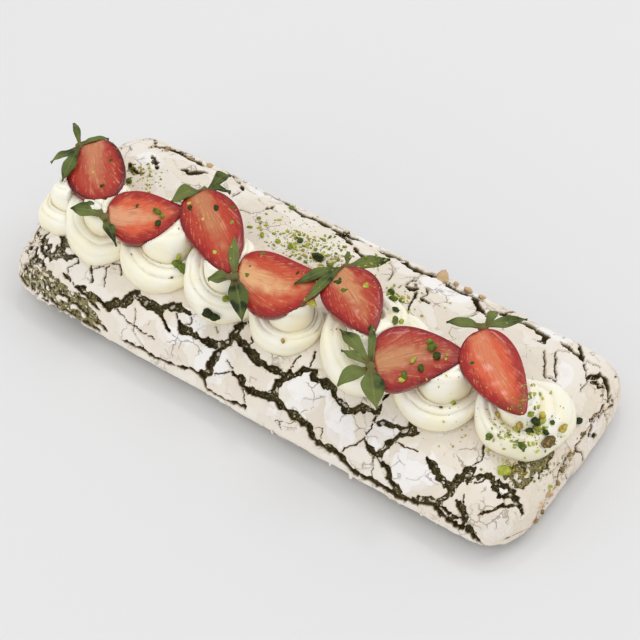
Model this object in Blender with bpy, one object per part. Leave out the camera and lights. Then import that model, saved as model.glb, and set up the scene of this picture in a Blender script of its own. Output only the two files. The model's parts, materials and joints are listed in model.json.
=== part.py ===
"""Pistachio roll cake: a meringue roulade with a cracked white crust, a row of piped cream
swirls, halved strawberries with their leaves, and chopped pistachios.

Units are metres, +Z is up. The cake lies along X, its front long side faces -Y, and it rests
on z = 0 with the middle of its whole footprint on the origin.
"""

import math
import random

import bmesh
import bpy
import numpy as np
from mathutils import Matrix, Vector, noise
from mathutils.bvhtree import BVHTree
from mathutils.geometry import delaunay_2d_cdt

MM = 0.001

# Driving dimensions of the roll
LENGTH = 0.285
WIDTH = 0.1120
HEIGHT = 0.0440
BELLY = 0.0120
SECTION_POWER = 2.15
FOOT_TUCK = 0.125
# How far each end takes to turn down, at -X and +X, and how square its front and back corners are
END_REACH = (0.0270, 0.0400)
CORNER_POWER = ((5.0, 3.4), (4.4, 5.0))
WIDTH_TAPER = 0.044
HEIGHT_TAPER = -0.045
LUMP = 0.0011
LUMP_LENGTH = 0.055

# The thin base sheet that the roll lies on, and how far above its groove the plates end
FOOT_CLEAR = 0.0022
SHEET_THICK = 0.0022
SHEET_GROOVE = 0.0016
SHEET_REACH = 0.858
SHEET_RAGGED = 0.0008

# The crust: plates that stand above the crumb, with cracks between them
PLATE_HIGH = 0.0012
PLATE_TILT = 0.030
PLATE_DRAFT = 0.00045
CRACK_DEEP = 0.0006
CRACK_FINE = 0.0007
CRACK_SPREAD = 0.0016
CREVICE_WIDE = 0.0042
CREVICE_REACH = 0.0065
PLATE_PITCH = 0.0190
PLATE_SHORT_SIDE = 0.0009
# Sides of the crust's outline: round each end, and along each straight run
RIM_SIDES = (22, 10)
PLATE_RIM_SIDES = (14, 4)
SEED = 11

# Touching pieces keep this gap
GAP = 0.0003


def material(name, colour, roughness):
    """A plain finish for one kind of piece."""
    mat = bpy.data.materials.new(name)
    mat.use_nodes = True
    shader = mat.node_tree.nodes["Principled BSDF"]
    shader.inputs["Base Color"].default_value = (*colour, 1.0)
    shader.inputs["Roughness"].default_value = roughness
    shader.inputs["Metallic"].default_value = 0.0
    return mat


def add_object(name, mesh, mat, smooth_deg=None):
    """Puts a mesh in the scene as one named piece."""
    mesh.materials.clear()
    mesh.materials.append(mat)
    if smooth_deg is None:
        mesh.shade_flat()
    else:
        mesh.shade_smooth()
        mesh.set_sharp_from_angle(angle=math.radians(smooth_deg))
    obj = bpy.data.objects.new(name, mesh)
    bpy.context.scene.collection.objects.link(obj)
    return obj


def mesh_from(bm, name):
    """Turns a bmesh into a mesh of triangles and frees it."""
    bmesh.ops.triangulate(bm, faces=bm.faces[:])
    mesh = bpy.data.meshes.new(name)
    bm.to_mesh(mesh)
    bm.free()
    return mesh


# The roll's section, from the middle of the top down to the foot, by its own arc length
def section_table():
    steps = 60
    reach, rise = [], []
    for k in range(steps + 1):
        t = 0.5 * math.pi * k / steps
        reach.append(0.5 * WIDTH * math.sin(t) ** (2 / SECTION_POWER))
        rise.append(BELLY + (HEIGHT - BELLY) * math.cos(t) ** (2 / SECTION_POWER))
    foot_z = SHEET_THICK + SHEET_GROOVE
    for k in range(1, 9):
        f = k / 8
        reach.append(0.5 * WIDTH * (1 - FOOT_TUCK * f * f))
        rise.append(BELLY + (foot_z - BELLY) * f)
    reach, rise = np.array(reach), np.array(rise)
    run = np.concatenate([[0], np.cumsum(np.hypot(np.diff(reach), np.diff(rise)))])
    d_reach, d_rise = np.gradient(reach, run), np.gradient(rise, run)
    return run, reach, rise, -d_rise, d_reach


RUN, REACH, RISE, OUT_R, OUT_Z = section_table()
GIRTH = float(RUN[-1])


def lumpiness(x, y):
    return noise.noise(Vector((x / LUMP_LENGTH, y / LUMP_LENGTH, 3.7)))


def finish_point(x, y, z):
    """The roll is a little wider at +X, a little higher at -X, and uneven by hand."""
    along = x / (0.5 * LENGTH)
    y = y * (1 + WIDTH_TAPER * along) + LUMP * noise.noise(Vector((x / LUMP_LENGTH, 8.1, 0)))
    z = z * (1 + HEIGHT_TAPER * along) + LUMP * lumpiness(x, y) * z / HEIGHT
    return Vector((x, y, z))


def straight_run(x):
    """How far from the middle the roll runs straight towards the end on this side."""
    return 0.5 * LENGTH - END_REACH[x > 0]


def end_scale(x):
    """How much steeper the roll turns down over this end than over its sides."""
    return END_REACH[x > 0] / (0.5 * WIDTH)


def round_distance(x, y, du, dv):
    """Distance from the middle line, round the corner that the point (x, y) belongs to."""
    power = CORNER_POWER[x > 0][y > 0]
    return (du**power + dv**power) ** (1 / power)


def wrap(u, v, h):
    """Lays the point (u, v) of the flat crust on the roll, h above its surface.

    u runs along the roll and v round it from the middle of the top; past the straight
    run the crust turns down over the end in the same way as over the sides.
    """
    straight, scale, power = straight_run(u), end_scale(u), CORNER_POWER[u > 0][v > 0]
    du, dv = max(abs(u) - straight, 0.0), abs(v)
    s = round_distance(u, v, du, dv)
    if s < 1e-9:
        return finish_point(u, v, HEIGHT + h)
    qx, qy = math.copysign(du / s, u), math.copysign(dv / s, v)
    reach = float(np.interp(s, RUN, REACH))
    rise = float(np.interp(s, RUN, RISE))
    out_r = float(np.interp(s, RUN, OUT_R))
    out_z = float(np.interp(s, RUN, OUT_Z))
    gx = math.copysign((du / s) ** (power - 1) / scale, u)
    gy = math.copysign((dv / s) ** (power - 1), v)
    g = math.hypot(gx, gy)
    x = math.copysign(min(abs(u), straight), u) + qx * reach * scale
    y = qy * reach
    return finish_point(x + h * out_r * gx / g, y + h * out_r * gy / g, rise + h * out_z)


def out_from_middle(x, y):
    """How far out a point lies: 0 on the roll's middle line, 1 on its outline."""
    du = max(abs(x) - straight_run(x), 0.0) / end_scale(x)
    dv = abs(y) / (1 + WIDTH_TAPER * x / (0.5 * LENGTH))
    return round_distance(x, y, du, dv) / (0.5 * WIDTH)


def roll_top(x, y):
    """Height of the smooth roll under the point (x, y)."""
    out = min(out_from_middle(x, y), 0.999)
    z = BELLY + (HEIGHT - BELLY) * (1 - out**SECTION_POWER) ** (1 / SECTION_POWER)
    return finish_point(x, y / (1 + WIDTH_TAPER * x / (0.5 * LENGTH)), z).z


# The plates that show at the front, the back and the ends, by their middles on the flat
# crust in millimetres; the rest of the crust is filled at random
SHOWN_PLATES = (
    (-146, -58), (-124, -51), (-106, -47), (-88, -43), (-73, -52), (-76, -63), (-59, -53),
    (-47, -61), (-53, -42), (-42, -42), (-30, -42), (-30, -57), (-15, -50), (-3, -47), (-14, -64),
    (4, -64), (8, -36), (20, -31), (26, -45), (28, -66), (43, -53), (46, -34), (66, -31),
    (69, -42), (60, -60), (75, -61), (88, -54), (96, -36), (124, -34), (128, -46), (116, -58),
    (149, -57), (149, -33), (158, -18), (-118, 24), (-110, 52), (-88, 38), (-64, 34), (-38, 40),
    (-23, 25), (-10, 35), (25, 40), (25, 23), (43, 37), (61, 31), (89, 40), (107, 33), (127, 28),
    (146, 33), (141, 18),
)

# The long crevices where the roll has opened, as lines on the flat crust in millimetres
CREVICES = (
    ((-103, -54), (-90, -55), (-80, -52), (-73, -44), (-56, -42), (-47, -38), (-38, -39)),
    ((-46, -47), (-32, -49), (-22, -47), (-15, -39), (12, -41), (34, -36), (42, -41), (58, -36)),
    ((-6, -52), (7, -57), (12, -51), (34, -56), (56, -63), (76, -67), (101, -61), (126, -63)),
    ((77, -45), (89, -43), (100, -48), (112, -50), (116, -41), (137, -40)),
    ((60, -38), (60, -48), (70, -53), (82, -62)),
    ((-115, 42), (-95, 46), (-81, 45)),
)

# Bare crumb where the crust has flaked off: middle on the flat crust and radius, millimetres
BARE_PATCHES = ((-121, -61, 10), (-101, -65, 9), (-131, -44, 7), (129, -23, 6), (162, 30, 6))


def distance_to_line(p, line):
    """Shortest distance from a flat point to a line of millimetre points."""
    best = 1.0
    for (ax, ay), (bx, by) in zip(line, line[1:]):
        ax, ay, bx, by = ax * MM, ay * MM, bx * MM, by * MM
        dx, dy = bx - ax, by - ay
        t = ((p[0] - ax) * dx + (p[1] - ay) * dy) / (dx * dx + dy * dy)
        t = min(max(t, 0.0), 1.0)
        best = min(best, math.hypot(p[0] - ax - t * dx, p[1] - ay - t * dy))
    return best


def plate_middles():
    """The named plates, then random ones at the usual pitch until the crust is full."""
    rng = random.Random(SEED)
    middles = [(u * MM, v * MM) for u, v in SHOWN_PLATES]
    far = GIRTH + 0.5 * LENGTH
    for _ in range(9000):
        p = (rng.uniform(-far, far), rng.uniform(-GIRTH, GIRTH))
        if round_distance(*p, max(abs(p[0]) - straight_run(p[0]), 0.0), abs(p[1])) > GIRTH:
            continue
        near = min(math.hypot(p[0] - q[0], p[1] - q[1]) for q in middles)
        if near > PLATE_PITCH * rng.uniform(0.72, 1.05):
            middles.append(p)
    return middles


def clip(polygon, mid, normal):
    """Keeps the part of a convex polygon behind the line through mid."""
    kept = []
    for a, b in zip(polygon, polygon[1:] + polygon[:1]):
        da = (a[0] - mid[0]) * normal[0] + (a[1] - mid[1]) * normal[1]
        db = (b[0] - mid[0]) * normal[0] + (b[1] - mid[1]) * normal[1]
        if da <= 0:
            kept.append(a)
        if (da < 0 < db) or (db < 0 < da):
            t = da / (da - db)
            kept.append((a[0] + t * (b[0] - a[0]), a[1] + t * (b[1] - a[1])))
    return kept


def crack_width(i, j, mid):
    """Most cracks are fine; those along a crevice gape."""
    chance = random.Random(min(i, j) * 1009 + max(i, j)).random()
    width = CRACK_FINE + CRACK_SPREAD * chance**3
    for line in CREVICES:
        near = distance_to_line(mid, line)
        if near < CREVICE_REACH:
            width = max(width, CREVICE_WIDE * (1 - 0.5 * near / CREVICE_REACH) * (0.7 + 0.5 * chance))
    return width


def plate_outline(i, middles, border, inset):
    """One plate: the ground nearer to its middle than to any other, less half of each crack."""
    here = middles[i]
    polygon = border
    order = sorted(range(len(middles)), key=lambda j: math.dist(here, middles[j]))
    for j in order[1:24]:
        there = middles[j]
        gap = math.dist(here, there)
        normal = ((there[0] - here[0]) / gap, (there[1] - here[1]) / gap)
        mid = ((here[0] + there[0]) / 2, (here[1] + there[1]) / 2)
        back = 0.5 * crack_width(i, j, mid) + inset
        polygon = clip(polygon, (mid[0] - normal[0] * back, mid[1] - normal[1] * back), normal)
        if len(polygon) < 3:
            return []
    kept = []
    for p in polygon:
        if not kept or math.dist(p, kept[-1]) > PLATE_SHORT_SIDE:
            kept.append(p)
    if len(kept) > 2 and math.dist(kept[0], kept[-1]) < PLATE_SHORT_SIDE:
        kept.pop()
    return kept if len(kept) > 2 else []


def crust_outline(s, end_sides, straight_sides):
    """The closed line on the flat crust that lies s from the middle of the top."""
    line = []
    for side in (1, -1):
        here, there = straight_run(side), straight_run(-side)
        for k in range(end_sides + 1):
            t = math.pi * (k / end_sides - 0.5)
            power = 2 / CORNER_POWER[side > 0][side * t > 0]
            du = s * max(math.cos(t), 0.0) ** power
            dv = s * math.copysign(abs(math.sin(t)) ** power, t)
            line.append((side * (here + du), side * dv))
        for k in range(1, straight_sides):
            line.append((side * (here - (here + there) * k / straight_sides), side * s))
    return line


def bare(p):
    return any(math.hypot(p[0] - u * MM, p[1] - v * MM) < r * MM for u, v, r in BARE_PATCHES)


def roll_mesh():
    """The whole roll: cracked crust over crumb, the groove above the base sheet, the sheet."""
    rim = crust_outline(GIRTH, *RIM_SIDES)
    foot_border = crust_outline(GIRTH - FOOT_CLEAR, *PLATE_RIM_SIDES)
    top_border = crust_outline(GIRTH - FOOT_CLEAR - PLATE_DRAFT, *PLATE_RIM_SIDES)
    middles = plate_middles()
    flat, edges, height = [], [], []

    def add_loop(points, height_at):
        first = len(flat)
        for p in points:
            flat.append(Vector((p[0] / MM, p[1] / MM)))
            height.append(height_at(p))
        count = len(points)
        edges.extend((first + k, first + (k + 1) % count) for k in range(count))

    add_loop(rim, lambda p: 0.0)
    rng = random.Random(SEED + 1)
    for i, here in enumerate(middles):
        tilt = (rng.uniform(-PLATE_TILT, PLATE_TILT), rng.uniform(-PLATE_TILT, PLATE_TILT))
        high = PLATE_HIGH * rng.uniform(0.7, 1.0)
        deep = CRACK_DEEP * rng.uniform(0.5, 1.6)
        if bare(here):
            continue
        foot = plate_outline(i, middles, foot_border, 0.0)
        top = plate_outline(i, middles, top_border, PLATE_DRAFT)
        if not foot or not top:
            continue
        add_loop(foot, lambda p: -deep)
        add_loop(top, lambda p: high + tilt[0] * (p[0] - here[0]) + tilt[1] * (p[1] - here[1]))
    verts, _, faces, origin, _, _ = delaunay_2d_cdt(flat, edges, [], 0, 1e-4)
    bm = bmesh.new()
    placed = []
    for v, source in zip(verts, origin):
        h = height[source[0]] if source else 0.0
        placed.append(bm.verts.new(wrap(v.x * MM, v.y * MM, h)))
    for face in faces:
        bm.faces.new([placed[k] for k in face])
    ring = [placed[next(i for i, s in enumerate(origin) if k in s)] for k in range(len(rim))]
    sheet = []
    for k, (u, v) in enumerate(rim):
        du = math.copysign(max(abs(u) - straight_run(u), 0.0), u) / GIRTH
        ragged = SHEET_RAGGED * (1 + noise.noise(Vector((u * 60, v * 60, 5.0))))
        reach = 0.5 * WIDTH * SHEET_REACH + ragged
        x = math.copysign(min(abs(u), straight_run(u)), u) + du * reach * end_scale(u)
        sheet.append((x, v / GIRTH * reach))
    in_plan = [(p.co.x, p.co.y) for p in ring]
    top_out = [finish_point(x, y, SHEET_THICK) for x, y in sheet]
    levels = (
        [Vector((x, y, SHEET_THICK)) for x, y in in_plan],
        [Vector((p.x, p.y, SHEET_THICK)) for p in top_out],
        [Vector((p.x, p.y, 0.0)) for p in top_out],
    )
    count = len(ring)
    for level in levels:
        lower = [bm.verts.new(p) for p in level]
        for k in range(count):
            n = (k + 1) % count
            bm.faces.new((ring[k], ring[n], lower[n], lower[k]))
        ring = lower
    bm.faces.new(ring)
    bmesh.ops.recalc_face_normals(bm, faces=bm.faces[:])
    return bm


# The piped cream: middle, radius, height and the bearing of the tail, in millimetres and degrees,
# then how far a lobe of the last turn bulges out, as a share of the radius, and its bearing
SWIRLS = (
    (-128, -20, 20.5, 15, 100, 0.0, 0),
    (-105.5, -21, 24.5, 17, 110, 0.0, 0),
    (-72.5, -17.5, 27.0, 18, 80, 0.0, 0),
    (-37, -18, 25.5, 18, 100, 0.0, 0),
    (-1.5, -20, 21.0, 18, 60, 0.0, 0),
    (40.5, -12.5, 30.5, 18, 110, 0.0, 0),
    (78, -15.5, 24.5, 18, 70, 0.0, 0),
    (114.5, -11.5, 23.5, 16, 150, 0.7, 50),
)
CREAM_TURNS = 2.3
CREAM_COLUMNS = 18
CREAM_RIM = 0.0012
CREAM_SEAT = PLATE_HIGH + 0.0007
LOBE_WIDE = 0.45
# Across one rope of cream: share of its width, of its crown and of its fall to the next rope
ROPE = ((0.30, 0.90, 0.00), (0.68, 0.85, 0.10), (0.97, 0.10, 0.45))
ROPE_CROWN = 0.34
TAIL_SHARE = 0.13
# Cream keeps this far from the roll's outline, as a share of the way from its middle line
CREAM_LIMIT = 0.95


def seat(x, y):
    """The height at which cream lies on the crust: clear of its plates also on a slope."""
    here, step = roll_top(x, y), 1.5 * MM
    slope = math.hypot(roll_top(x + step, y) - here, roll_top(x, y + step) - here) / step
    return here + CREAM_SEAT * math.hypot(1.0, min(slope, 2.0))


def room_for_cream(x, y, bearing, radius):
    """How much of a swirl's radius fits on top of the roll in one direction."""
    for k in range(30):
        r = radius * (1 - 0.02 * k)
        if out_from_middle(x + r * math.cos(bearing), y + r * math.sin(bearing)) < CREAM_LIMIT:
            return 1 - 0.02 * k
    return 0.4


def swirl_shape(x, y, radius, high, tail, lobe, lobe_bearing):
    """One swirl: a rope of cream laid in a climbing spiral, closed underneath."""
    x, y, radius, high = x * MM, y * MM, radius * MM, high * MM
    tail, lobe_bearing = math.radians(tail), math.radians(lobe_bearing)
    total = round(CREAM_TURNS * CREAM_COLUMNS)
    last = total - CREAM_COLUMNS
    bm = bmesh.new()

    bearings = [tail + 2 * math.pi * (c - total) / CREAM_COLUMNS for c in range(total + 1)]
    room = []
    for c, bearing in enumerate(bearings):
        off = math.remainder(bearing - lobe_bearing, 2 * math.pi) / LOBE_WIDE
        stretch = 1 + lobe * math.exp(-off * off) * (c > last)
        room.append(stretch * room_for_cream(x, y, bearing, radius * stretch))

    def place(c, r, lift):
        px = x + r * room[c] * math.cos(bearings[c])
        py = y + r * room[c] * math.sin(bearings[c])
        return Vector((px, py, seat(px, py) + lift))

    def spread(c):
        return radius * (c / total) ** 0.72

    def lift(c):
        return CREAM_RIM + (high - CREAM_RIM) * (1 - min(1, c / last)) ** 0.9

    middle = bm.verts.new((x, y, seat(x, y) + high))
    crease = {0: middle}
    for c in range(1, total):
        r = spread(c)
        left = (total - c) / (TAIL_SHARE * total)
        if left < 1:
            inner = spread(c - CREAM_COLUMNS)
            r = inner + (r - inner) * math.sin(0.5 * math.pi * left) ** 0.7
        crease[c] = bm.verts.new(place(c, r, lift(c)))
    crease[total] = crease[last]

    def column(c):
        """The points across the rope at one column, from its inner to its outer crease."""
        inner = crease[max(c - CREAM_COLUMNS, 0)]
        if c in (0, total):
            return [inner] * (len(ROPE) + 2)
        outer = crease[c]
        centre = Vector((x, y, 0))
        r_in = (inner.co - centre).xy.length / room[c]
        r_out = (outer.co - centre).xy.length / room[c]
        z_in = lift(max(c - CREAM_COLUMNS, 0))
        crown = ROPE_CROWN * (r_out - r_in)
        points = [inner]
        for across, rise, fall in ROPE:
            r = r_in + (r_out - r_in) * across
            points.append(bm.verts.new(place(c, r, z_in + crown * rise - (z_in - lift(c)) * fall)))
        return points + [outer]

    before = column(0)
    for c in range(1, total + 1):
        here = column(c)
        for a, b, d, e in zip(before, here, here[1:], before[1:]):
            corners = list(dict.fromkeys((a, b, d, e)))
            if len(corners) > 2:
                bm.faces.new(corners)
        before = here
    ring = [crease[c] for c in range(last, total)]
    for share, drop in ((0.97, 0.0), (0.5, 0.0)):
        below = []
        for v in ring:
            px, py = x + (v.co.x - x) * share, y + (v.co.y - y) * share
            below.append(bm.verts.new((px, py, seat(px, py) - drop)))
        for k, v in enumerate(ring):
            n = (k + 1) % len(ring)
            bm.faces.new((v, ring[n], below[n], below[k]))
        ring = below
    under = bm.verts.new((x, y, seat(x, y)))
    for k, v in enumerate(ring):
        bm.faces.new((v, ring[(k + 1) % len(ring)], under))
    bmesh.ops.triangulate(bm, faces=bm.faces[:])
    bmesh.ops.recalc_face_normals(bm, faces=bm.faces[:])
    return bm


# The halved strawberries: middle of the cut face, its height, length, width, bearing of the
# tip, how far the tip and the near side are tipped down, in millimetres and degrees; then how
# far along the widest place lies, how blunt the ends are, and how far the middle line bows
STRAWBERRIES = (
    (-116.5, -8, 65.0, 36.5, 28.5, -45, 3, 10, 0.98, 0.43, -2.2),
    (-83, -16.5, 63.5, 37.5, 28.5, 38, -2, 12, 0.63, 0.83, -1.9),
    (-49, -11, 66.5, 49.5, 27.5, -36, 4, 8, 0.70, 0.61, 2.0),
    (-8, -13.5, 65.0, 42.5, 33.0, 20, -2, 10, 0.70, 0.65, -6.1),
    (28.5, -10, 67.0, 40.0, 27.5, -31, 3, 9, 0.70, 0.76, 1.3),
    (70.5, -20, 65.0, 42.0, 31.5, 41, -1, 11, 0.53, 0.66, 2.6),
    (104.5, -7.5, 66.5, 47.0, 26.5, -32, 6, 9, 0.66, 0.66, -1.4),
)
BERRY_STATIONS = 9
BERRY_TURN_STEPS = 7
BERRY_DEPTH = 0.86
BERRY_UNEVEN = 0.03
# The cream keeps this far from a strawberry, and out of the space above it
BERRY_CLEAR = 0.0004
BERRY_HEADROOM = 0.04


def berry_girth(t, widest, blunt):
    """Half width of a strawberry along its length, as a share of the widest."""
    return max(math.sin(math.pi * min(max(t, 0.0), 1.0) ** widest), 0.0) ** blunt


def berry_matrix(x, y, z, bearing, tip_down, side_down):
    from_side = -math.copysign(side_down, math.cos(math.radians(bearing)))
    turn = Matrix.Rotation(math.radians(bearing), 4, "Z")
    tip = Matrix.Rotation(math.radians(tip_down), 4, "Y")
    side = Matrix.Rotation(math.radians(-from_side), 4, "X")
    return Matrix.Translation((x, y, z)) @ turn @ tip @ side


def berry_shape(index, row):
    """Half a strawberry, cut face up, calyx end at its local -X."""
    x, y, z, length, width, bow = (row[k] * MM for k in (0, 1, 2, 3, 4, 10))
    bearing, tip_down, side_down, widest, blunt = row[5:10]
    bm = bmesh.new()
    line = []
    for k in range(BERRY_STATIONS + 1):
        t = 0.5 * (1 - math.cos(math.pi * k / BERRY_STATIONS))
        half = 0.5 * width * berry_girth(t, widest, blunt)
        line.append(bm.verts.new(((t - 0.5) * length, half, 0)))
    spine = [bm.edges.new(pair) for pair in zip(line, line[1:])]
    bmesh.ops.spin(
        bm, geom=line + spine, cent=(0, 0, 0), axis=(1, 0, 0), angle=-math.pi,
        steps=BERRY_TURN_STEPS, use_merge=False, use_duplicate=False,
    )
    bmesh.ops.remove_doubles(bm, verts=bm.verts[:], dist=2e-5)
    edge = [e for e in bm.edges if e.is_boundary]
    bmesh.ops.contextual_create(bm, geom=edge)
    for v in bm.verts:
        bend = bow * (1 - (2 * v.co.x / length) ** 2)
        swell = 1 + BERRY_UNEVEN * noise.noise(Vector((v.co.x / 0.016, index * 3.1, v.co.y / 0.02)))
        v.co = Vector((v.co.x, v.co.y * swell + bend, v.co.z * BERRY_DEPTH * swell))
    bmesh.ops.triangulate(bm, faces=bm.faces[:])
    bmesh.ops.transform(
        bm, matrix=berry_matrix(x, y, z, bearing, tip_down, side_down), verts=bm.verts[:]
    )
    bmesh.ops.recalc_face_normals(bm, faces=bm.faces[:])
    return bm


# The sepals on each strawberry: bearing, length and width in degrees and millimetres
SEPALS = (
    ((-104, 14, 4.5), (-74, 20, 6.5), (137, 12, 3.0), (58, 11, 3.5)),
    ((-169, 13.5, 9.0), (-40, 15.5, 5.5)),
    ((-128, 13.5, 8.0), (72, 12.5, 8.5), (30, 9, 3.0)),
    ((-139, 9, 7.0), (-48, 22, 9.0), (128, 17.5, 5.0)),
    ((42, 17.5, 7.0), (112, 5, 3.0), (-128, 22, 6.0), (-103, 26, 5.0)),
    ((153, 22, 8.0), (-179, 12.5, 5.5), (-113, 15, 8.0), (-54, 20, 11.0), (120, 18, 3.5)),
    ((-156, 13.5, 5.5), (87, 8, 4.5), (46, 17.5, 6.5)),
)
# Where the calyx sits: how far towards the tip and to its left of the end of the middle line
CALYX_SHIFT = ((1.6, -7.0), (0, 0), (0, 5), (1.2, -5.5), (1, 6), (0, 0), (-1.5, 5))
CALYX_BEYOND = 1.2
CALYX_BELOW = 1.0
SEPAL_STATIONS = 5
SEPAL_THICK = 0.0005
SEPAL_HUB = 0.0034
# Neighbouring sepals closer than this are joined at the hub
HUB_WEB = math.radians(170)
SEPAL_CLEAR = 0.0007
SEPAL_ARCH = 0.0018
SEPAL_WAVE = 0.0008


def sepals_shape(index, hub_x, hub_y, hub_z, sepals, ground):
    """The leaves of one strawberry: thin wavy sepals joined at a small hub."""
    bm = bmesh.new()
    hub = bm.verts.new((hub_x, hub_y, hub_z))
    ordered = sorted(sepals)
    roots = []
    for i, (bearing, length, width) in enumerate(ordered):
        a = math.radians(bearing)
        sides = (ordered[i - 1][0], ordered[(i + 1) % len(ordered)][0])
        room = min(math.radians(min((bearing - b) % 360, (b - bearing) % 360)) for b in sides)
        room = min(room, 0.5 * math.pi)
        ahead, across = Vector((math.cos(a), math.sin(a), 0)), Vector((-math.sin(a), math.cos(a), 0))
        rows = []
        for k in range(SEPAL_STATIONS):
            t = k / SEPAL_STATIONS
            r = SEPAL_HUB + t * length * MM
            half = 0.5 * width * MM * (0.42 + 0.58 * math.sin(math.pi * min(1.0, t + 0.18)) ** 0.8)
            half = min(half * (1 - t**3), 0.9 * r * math.tan(0.5 * room))
            wave = SEPAL_WAVE * math.sin(5.0 * t + index + bearing)
            rise = SEPAL_ARCH * math.sin(math.pi * t) + wave
            row = []
            for side, fold in ((-1, 0.16), (0, 0.0), (1, 0.16)):
                p = Vector((hub_x, hub_y, 0)) + ahead * r + across * (half * side)
                row.append((p.x, p.y, hub_z + rise + fold * half))
            rows.append(row)
        end = Vector((hub_x, hub_y, 0)) + ahead * (SEPAL_HUB + length * MM)
        rows.append([(end.x, end.y, hub_z)])
        placed = [[bm.verts.new(p) for p in row] for row in rows]
        for low, high in zip(placed, placed[1:]):
            if len(high) == 1:
                bm.faces.new((low[0], high[0], low[1]))
                bm.faces.new((low[1], high[0], low[2]))
                continue
            for k in range(2):
                bm.faces.new((low[k], high[k], high[k + 1], low[k + 1]))
        bm.faces.new((hub, placed[0][0], placed[0][1]))
        bm.faces.new((hub, placed[0][1], placed[0][2]))
        roots.append((a, placed[0]))
    for (a, left), (b, right) in zip(roots, roots[1:] + roots[:1]):
        if (b - a) % (2 * math.pi) < HUB_WEB:
            bm.faces.new((hub, left[2], right[0]))
    bmesh.ops.triangulate(bm, faces=bm.faces[:])
    for v in bm.verts:
        v.co.z = max(v.co.z, ground(v.co.x, v.co.y) + SEPAL_CLEAR + SEPAL_THICK)
    solid = bm.copy()
    top = solid.verts[:]
    shell = bmesh.ops.duplicate(solid, geom=solid.verts[:] + solid.edges[:] + solid.faces[:])
    lower = shell["vert_map"]
    rim = [e for e in solid.edges if e.is_boundary and e.verts[0] in set(top)]
    for e in rim:
        a, b = e.verts
        solid.faces.new((a, b, lower[b], lower[a]))
    for v in top:
        lower[v].co.z -= SEPAL_THICK
    bm.free()
    bmesh.ops.triangulate(solid, faces=solid.faces[:])
    bmesh.ops.recalc_face_normals(solid, faces=solid.faces[:])
    return solid


# Chopped pistachios that show from a step away: place and size in millimetres
NUTS = (
    (-58, -28, 5.4), (-53, -30, 6.0), (-31, -41, 5.4), (-27, -33, 4.0), (-109, 6, 3.2),
    (-115, 15, 2.8), (-8, 16, 5.2), (-23, 15, 3.2), (-30, 14, 2.8), (-38, 13, 2.8), (-21, 20, 2.8),
    (-1, 16, 3.2), (-48, 38, 4.4), (-23, 26, 3.6), (33, 13, 3.6), (45, 15, 3.2), (40, 19, 2.6),
    (125, -36, 6.0), (137, -22, 7.0), (127, -15, 5.0), (124, -21, 4.6), (129, -9, 4.2),
    (138, -9, 4.6), (127, -27, 4.2), (114, -30, 3.8), (112, -22, 3.4), (139, 3, 4.0), (91, -25, 3.0),
    (-109, -16, 3.6), (-115, -1, 3.0), (-79, -14, 3.6), (-74, -20, 3.2), (-66, -5, 4.4),
    (-56, 2, 5.0), (-45, -1, 3.0), (-41, -20, 3.8), (-21, -23, 3.6), (-23, -8, 3.6), (-3, -9, 3.0),
    (16, -5, 4.6), (22, -9, 4.2), (28, 1, 4.0), (42, -18, 4.0), (71, -12, 4.6), (76, -16, 4.0),
    (67, -22, 3.0), (73, -25, 3.4), (69, -31, 4.0), (92, -10, 3.2),
)
# Toasted crumbs of meringue along the back edge, and crumbs shed on the crust behind the cream
CRUMBS = ((31, 49.5, 7.0), (49, 48, 3.6), (56, 47.5, 4.2), (63, 48.5, 3.2), (-91, 44, 3.4))
DUST_COUNT = 12
DUST_ZONE = (-115, 127, 9, 33)
DUST_SIZE = (2.2, 3.0)
NUT_SUNK = 0.22
NUT_CLEAR = 0.0009
# The farthest that a piece reaches from its middle, as a share of its size
NUT_REACH = 0.6
NUT_ROUGH = (0.86, 1.12)
NUT_STRETCH = ((0.85, 1.2), (0.65, 0.9), (0.55, 0.8))


def object_from(name, bm):
    """A temporary object with a bmesh's shape."""
    mesh = bpy.data.meshes.new(name)
    bm.to_mesh(mesh)
    obj = bpy.data.objects.new(name, mesh)
    bpy.context.scene.collection.objects.link(obj)
    return obj


def result_of(obj, merge):
    """The evaluated shape of a temporary object, cleaned, as a bmesh; the object is removed."""
    graph = bpy.context.evaluated_depsgraph_get()
    bm = bmesh.new()
    bm.from_object(obj, graph)
    bpy.data.objects.remove(obj)
    bmesh.ops.remove_doubles(bm, verts=bm.verts[:], dist=merge)
    bmesh.ops.dissolve_degenerate(bm, edges=bm.edges[:], dist=merge)
    bmesh.ops.triangulate(bm, faces=bm.faces[:])
    keep_largest(bm)
    return bm


def keep_largest(bm):
    """Drops loose scraps, so that one body is left."""
    left, islands = set(bm.verts), []
    while left:
        stack = [left.pop()]
        island = set(stack)
        while stack:
            for e in stack.pop().link_edges:
                for v in e.verts:
                    if v in left:
                        left.discard(v)
                        island.add(v)
                        stack.append(v)
        islands.append(island)
    islands.sort(key=len)
    scraps = [v for island in islands[:-1] for v in island]
    bmesh.ops.delete(bm, geom=scraps, context="VERTS")


def closed(bm):
    return len(bm.faces) > 0 and all(e.is_manifold for e in bm.edges)


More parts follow.
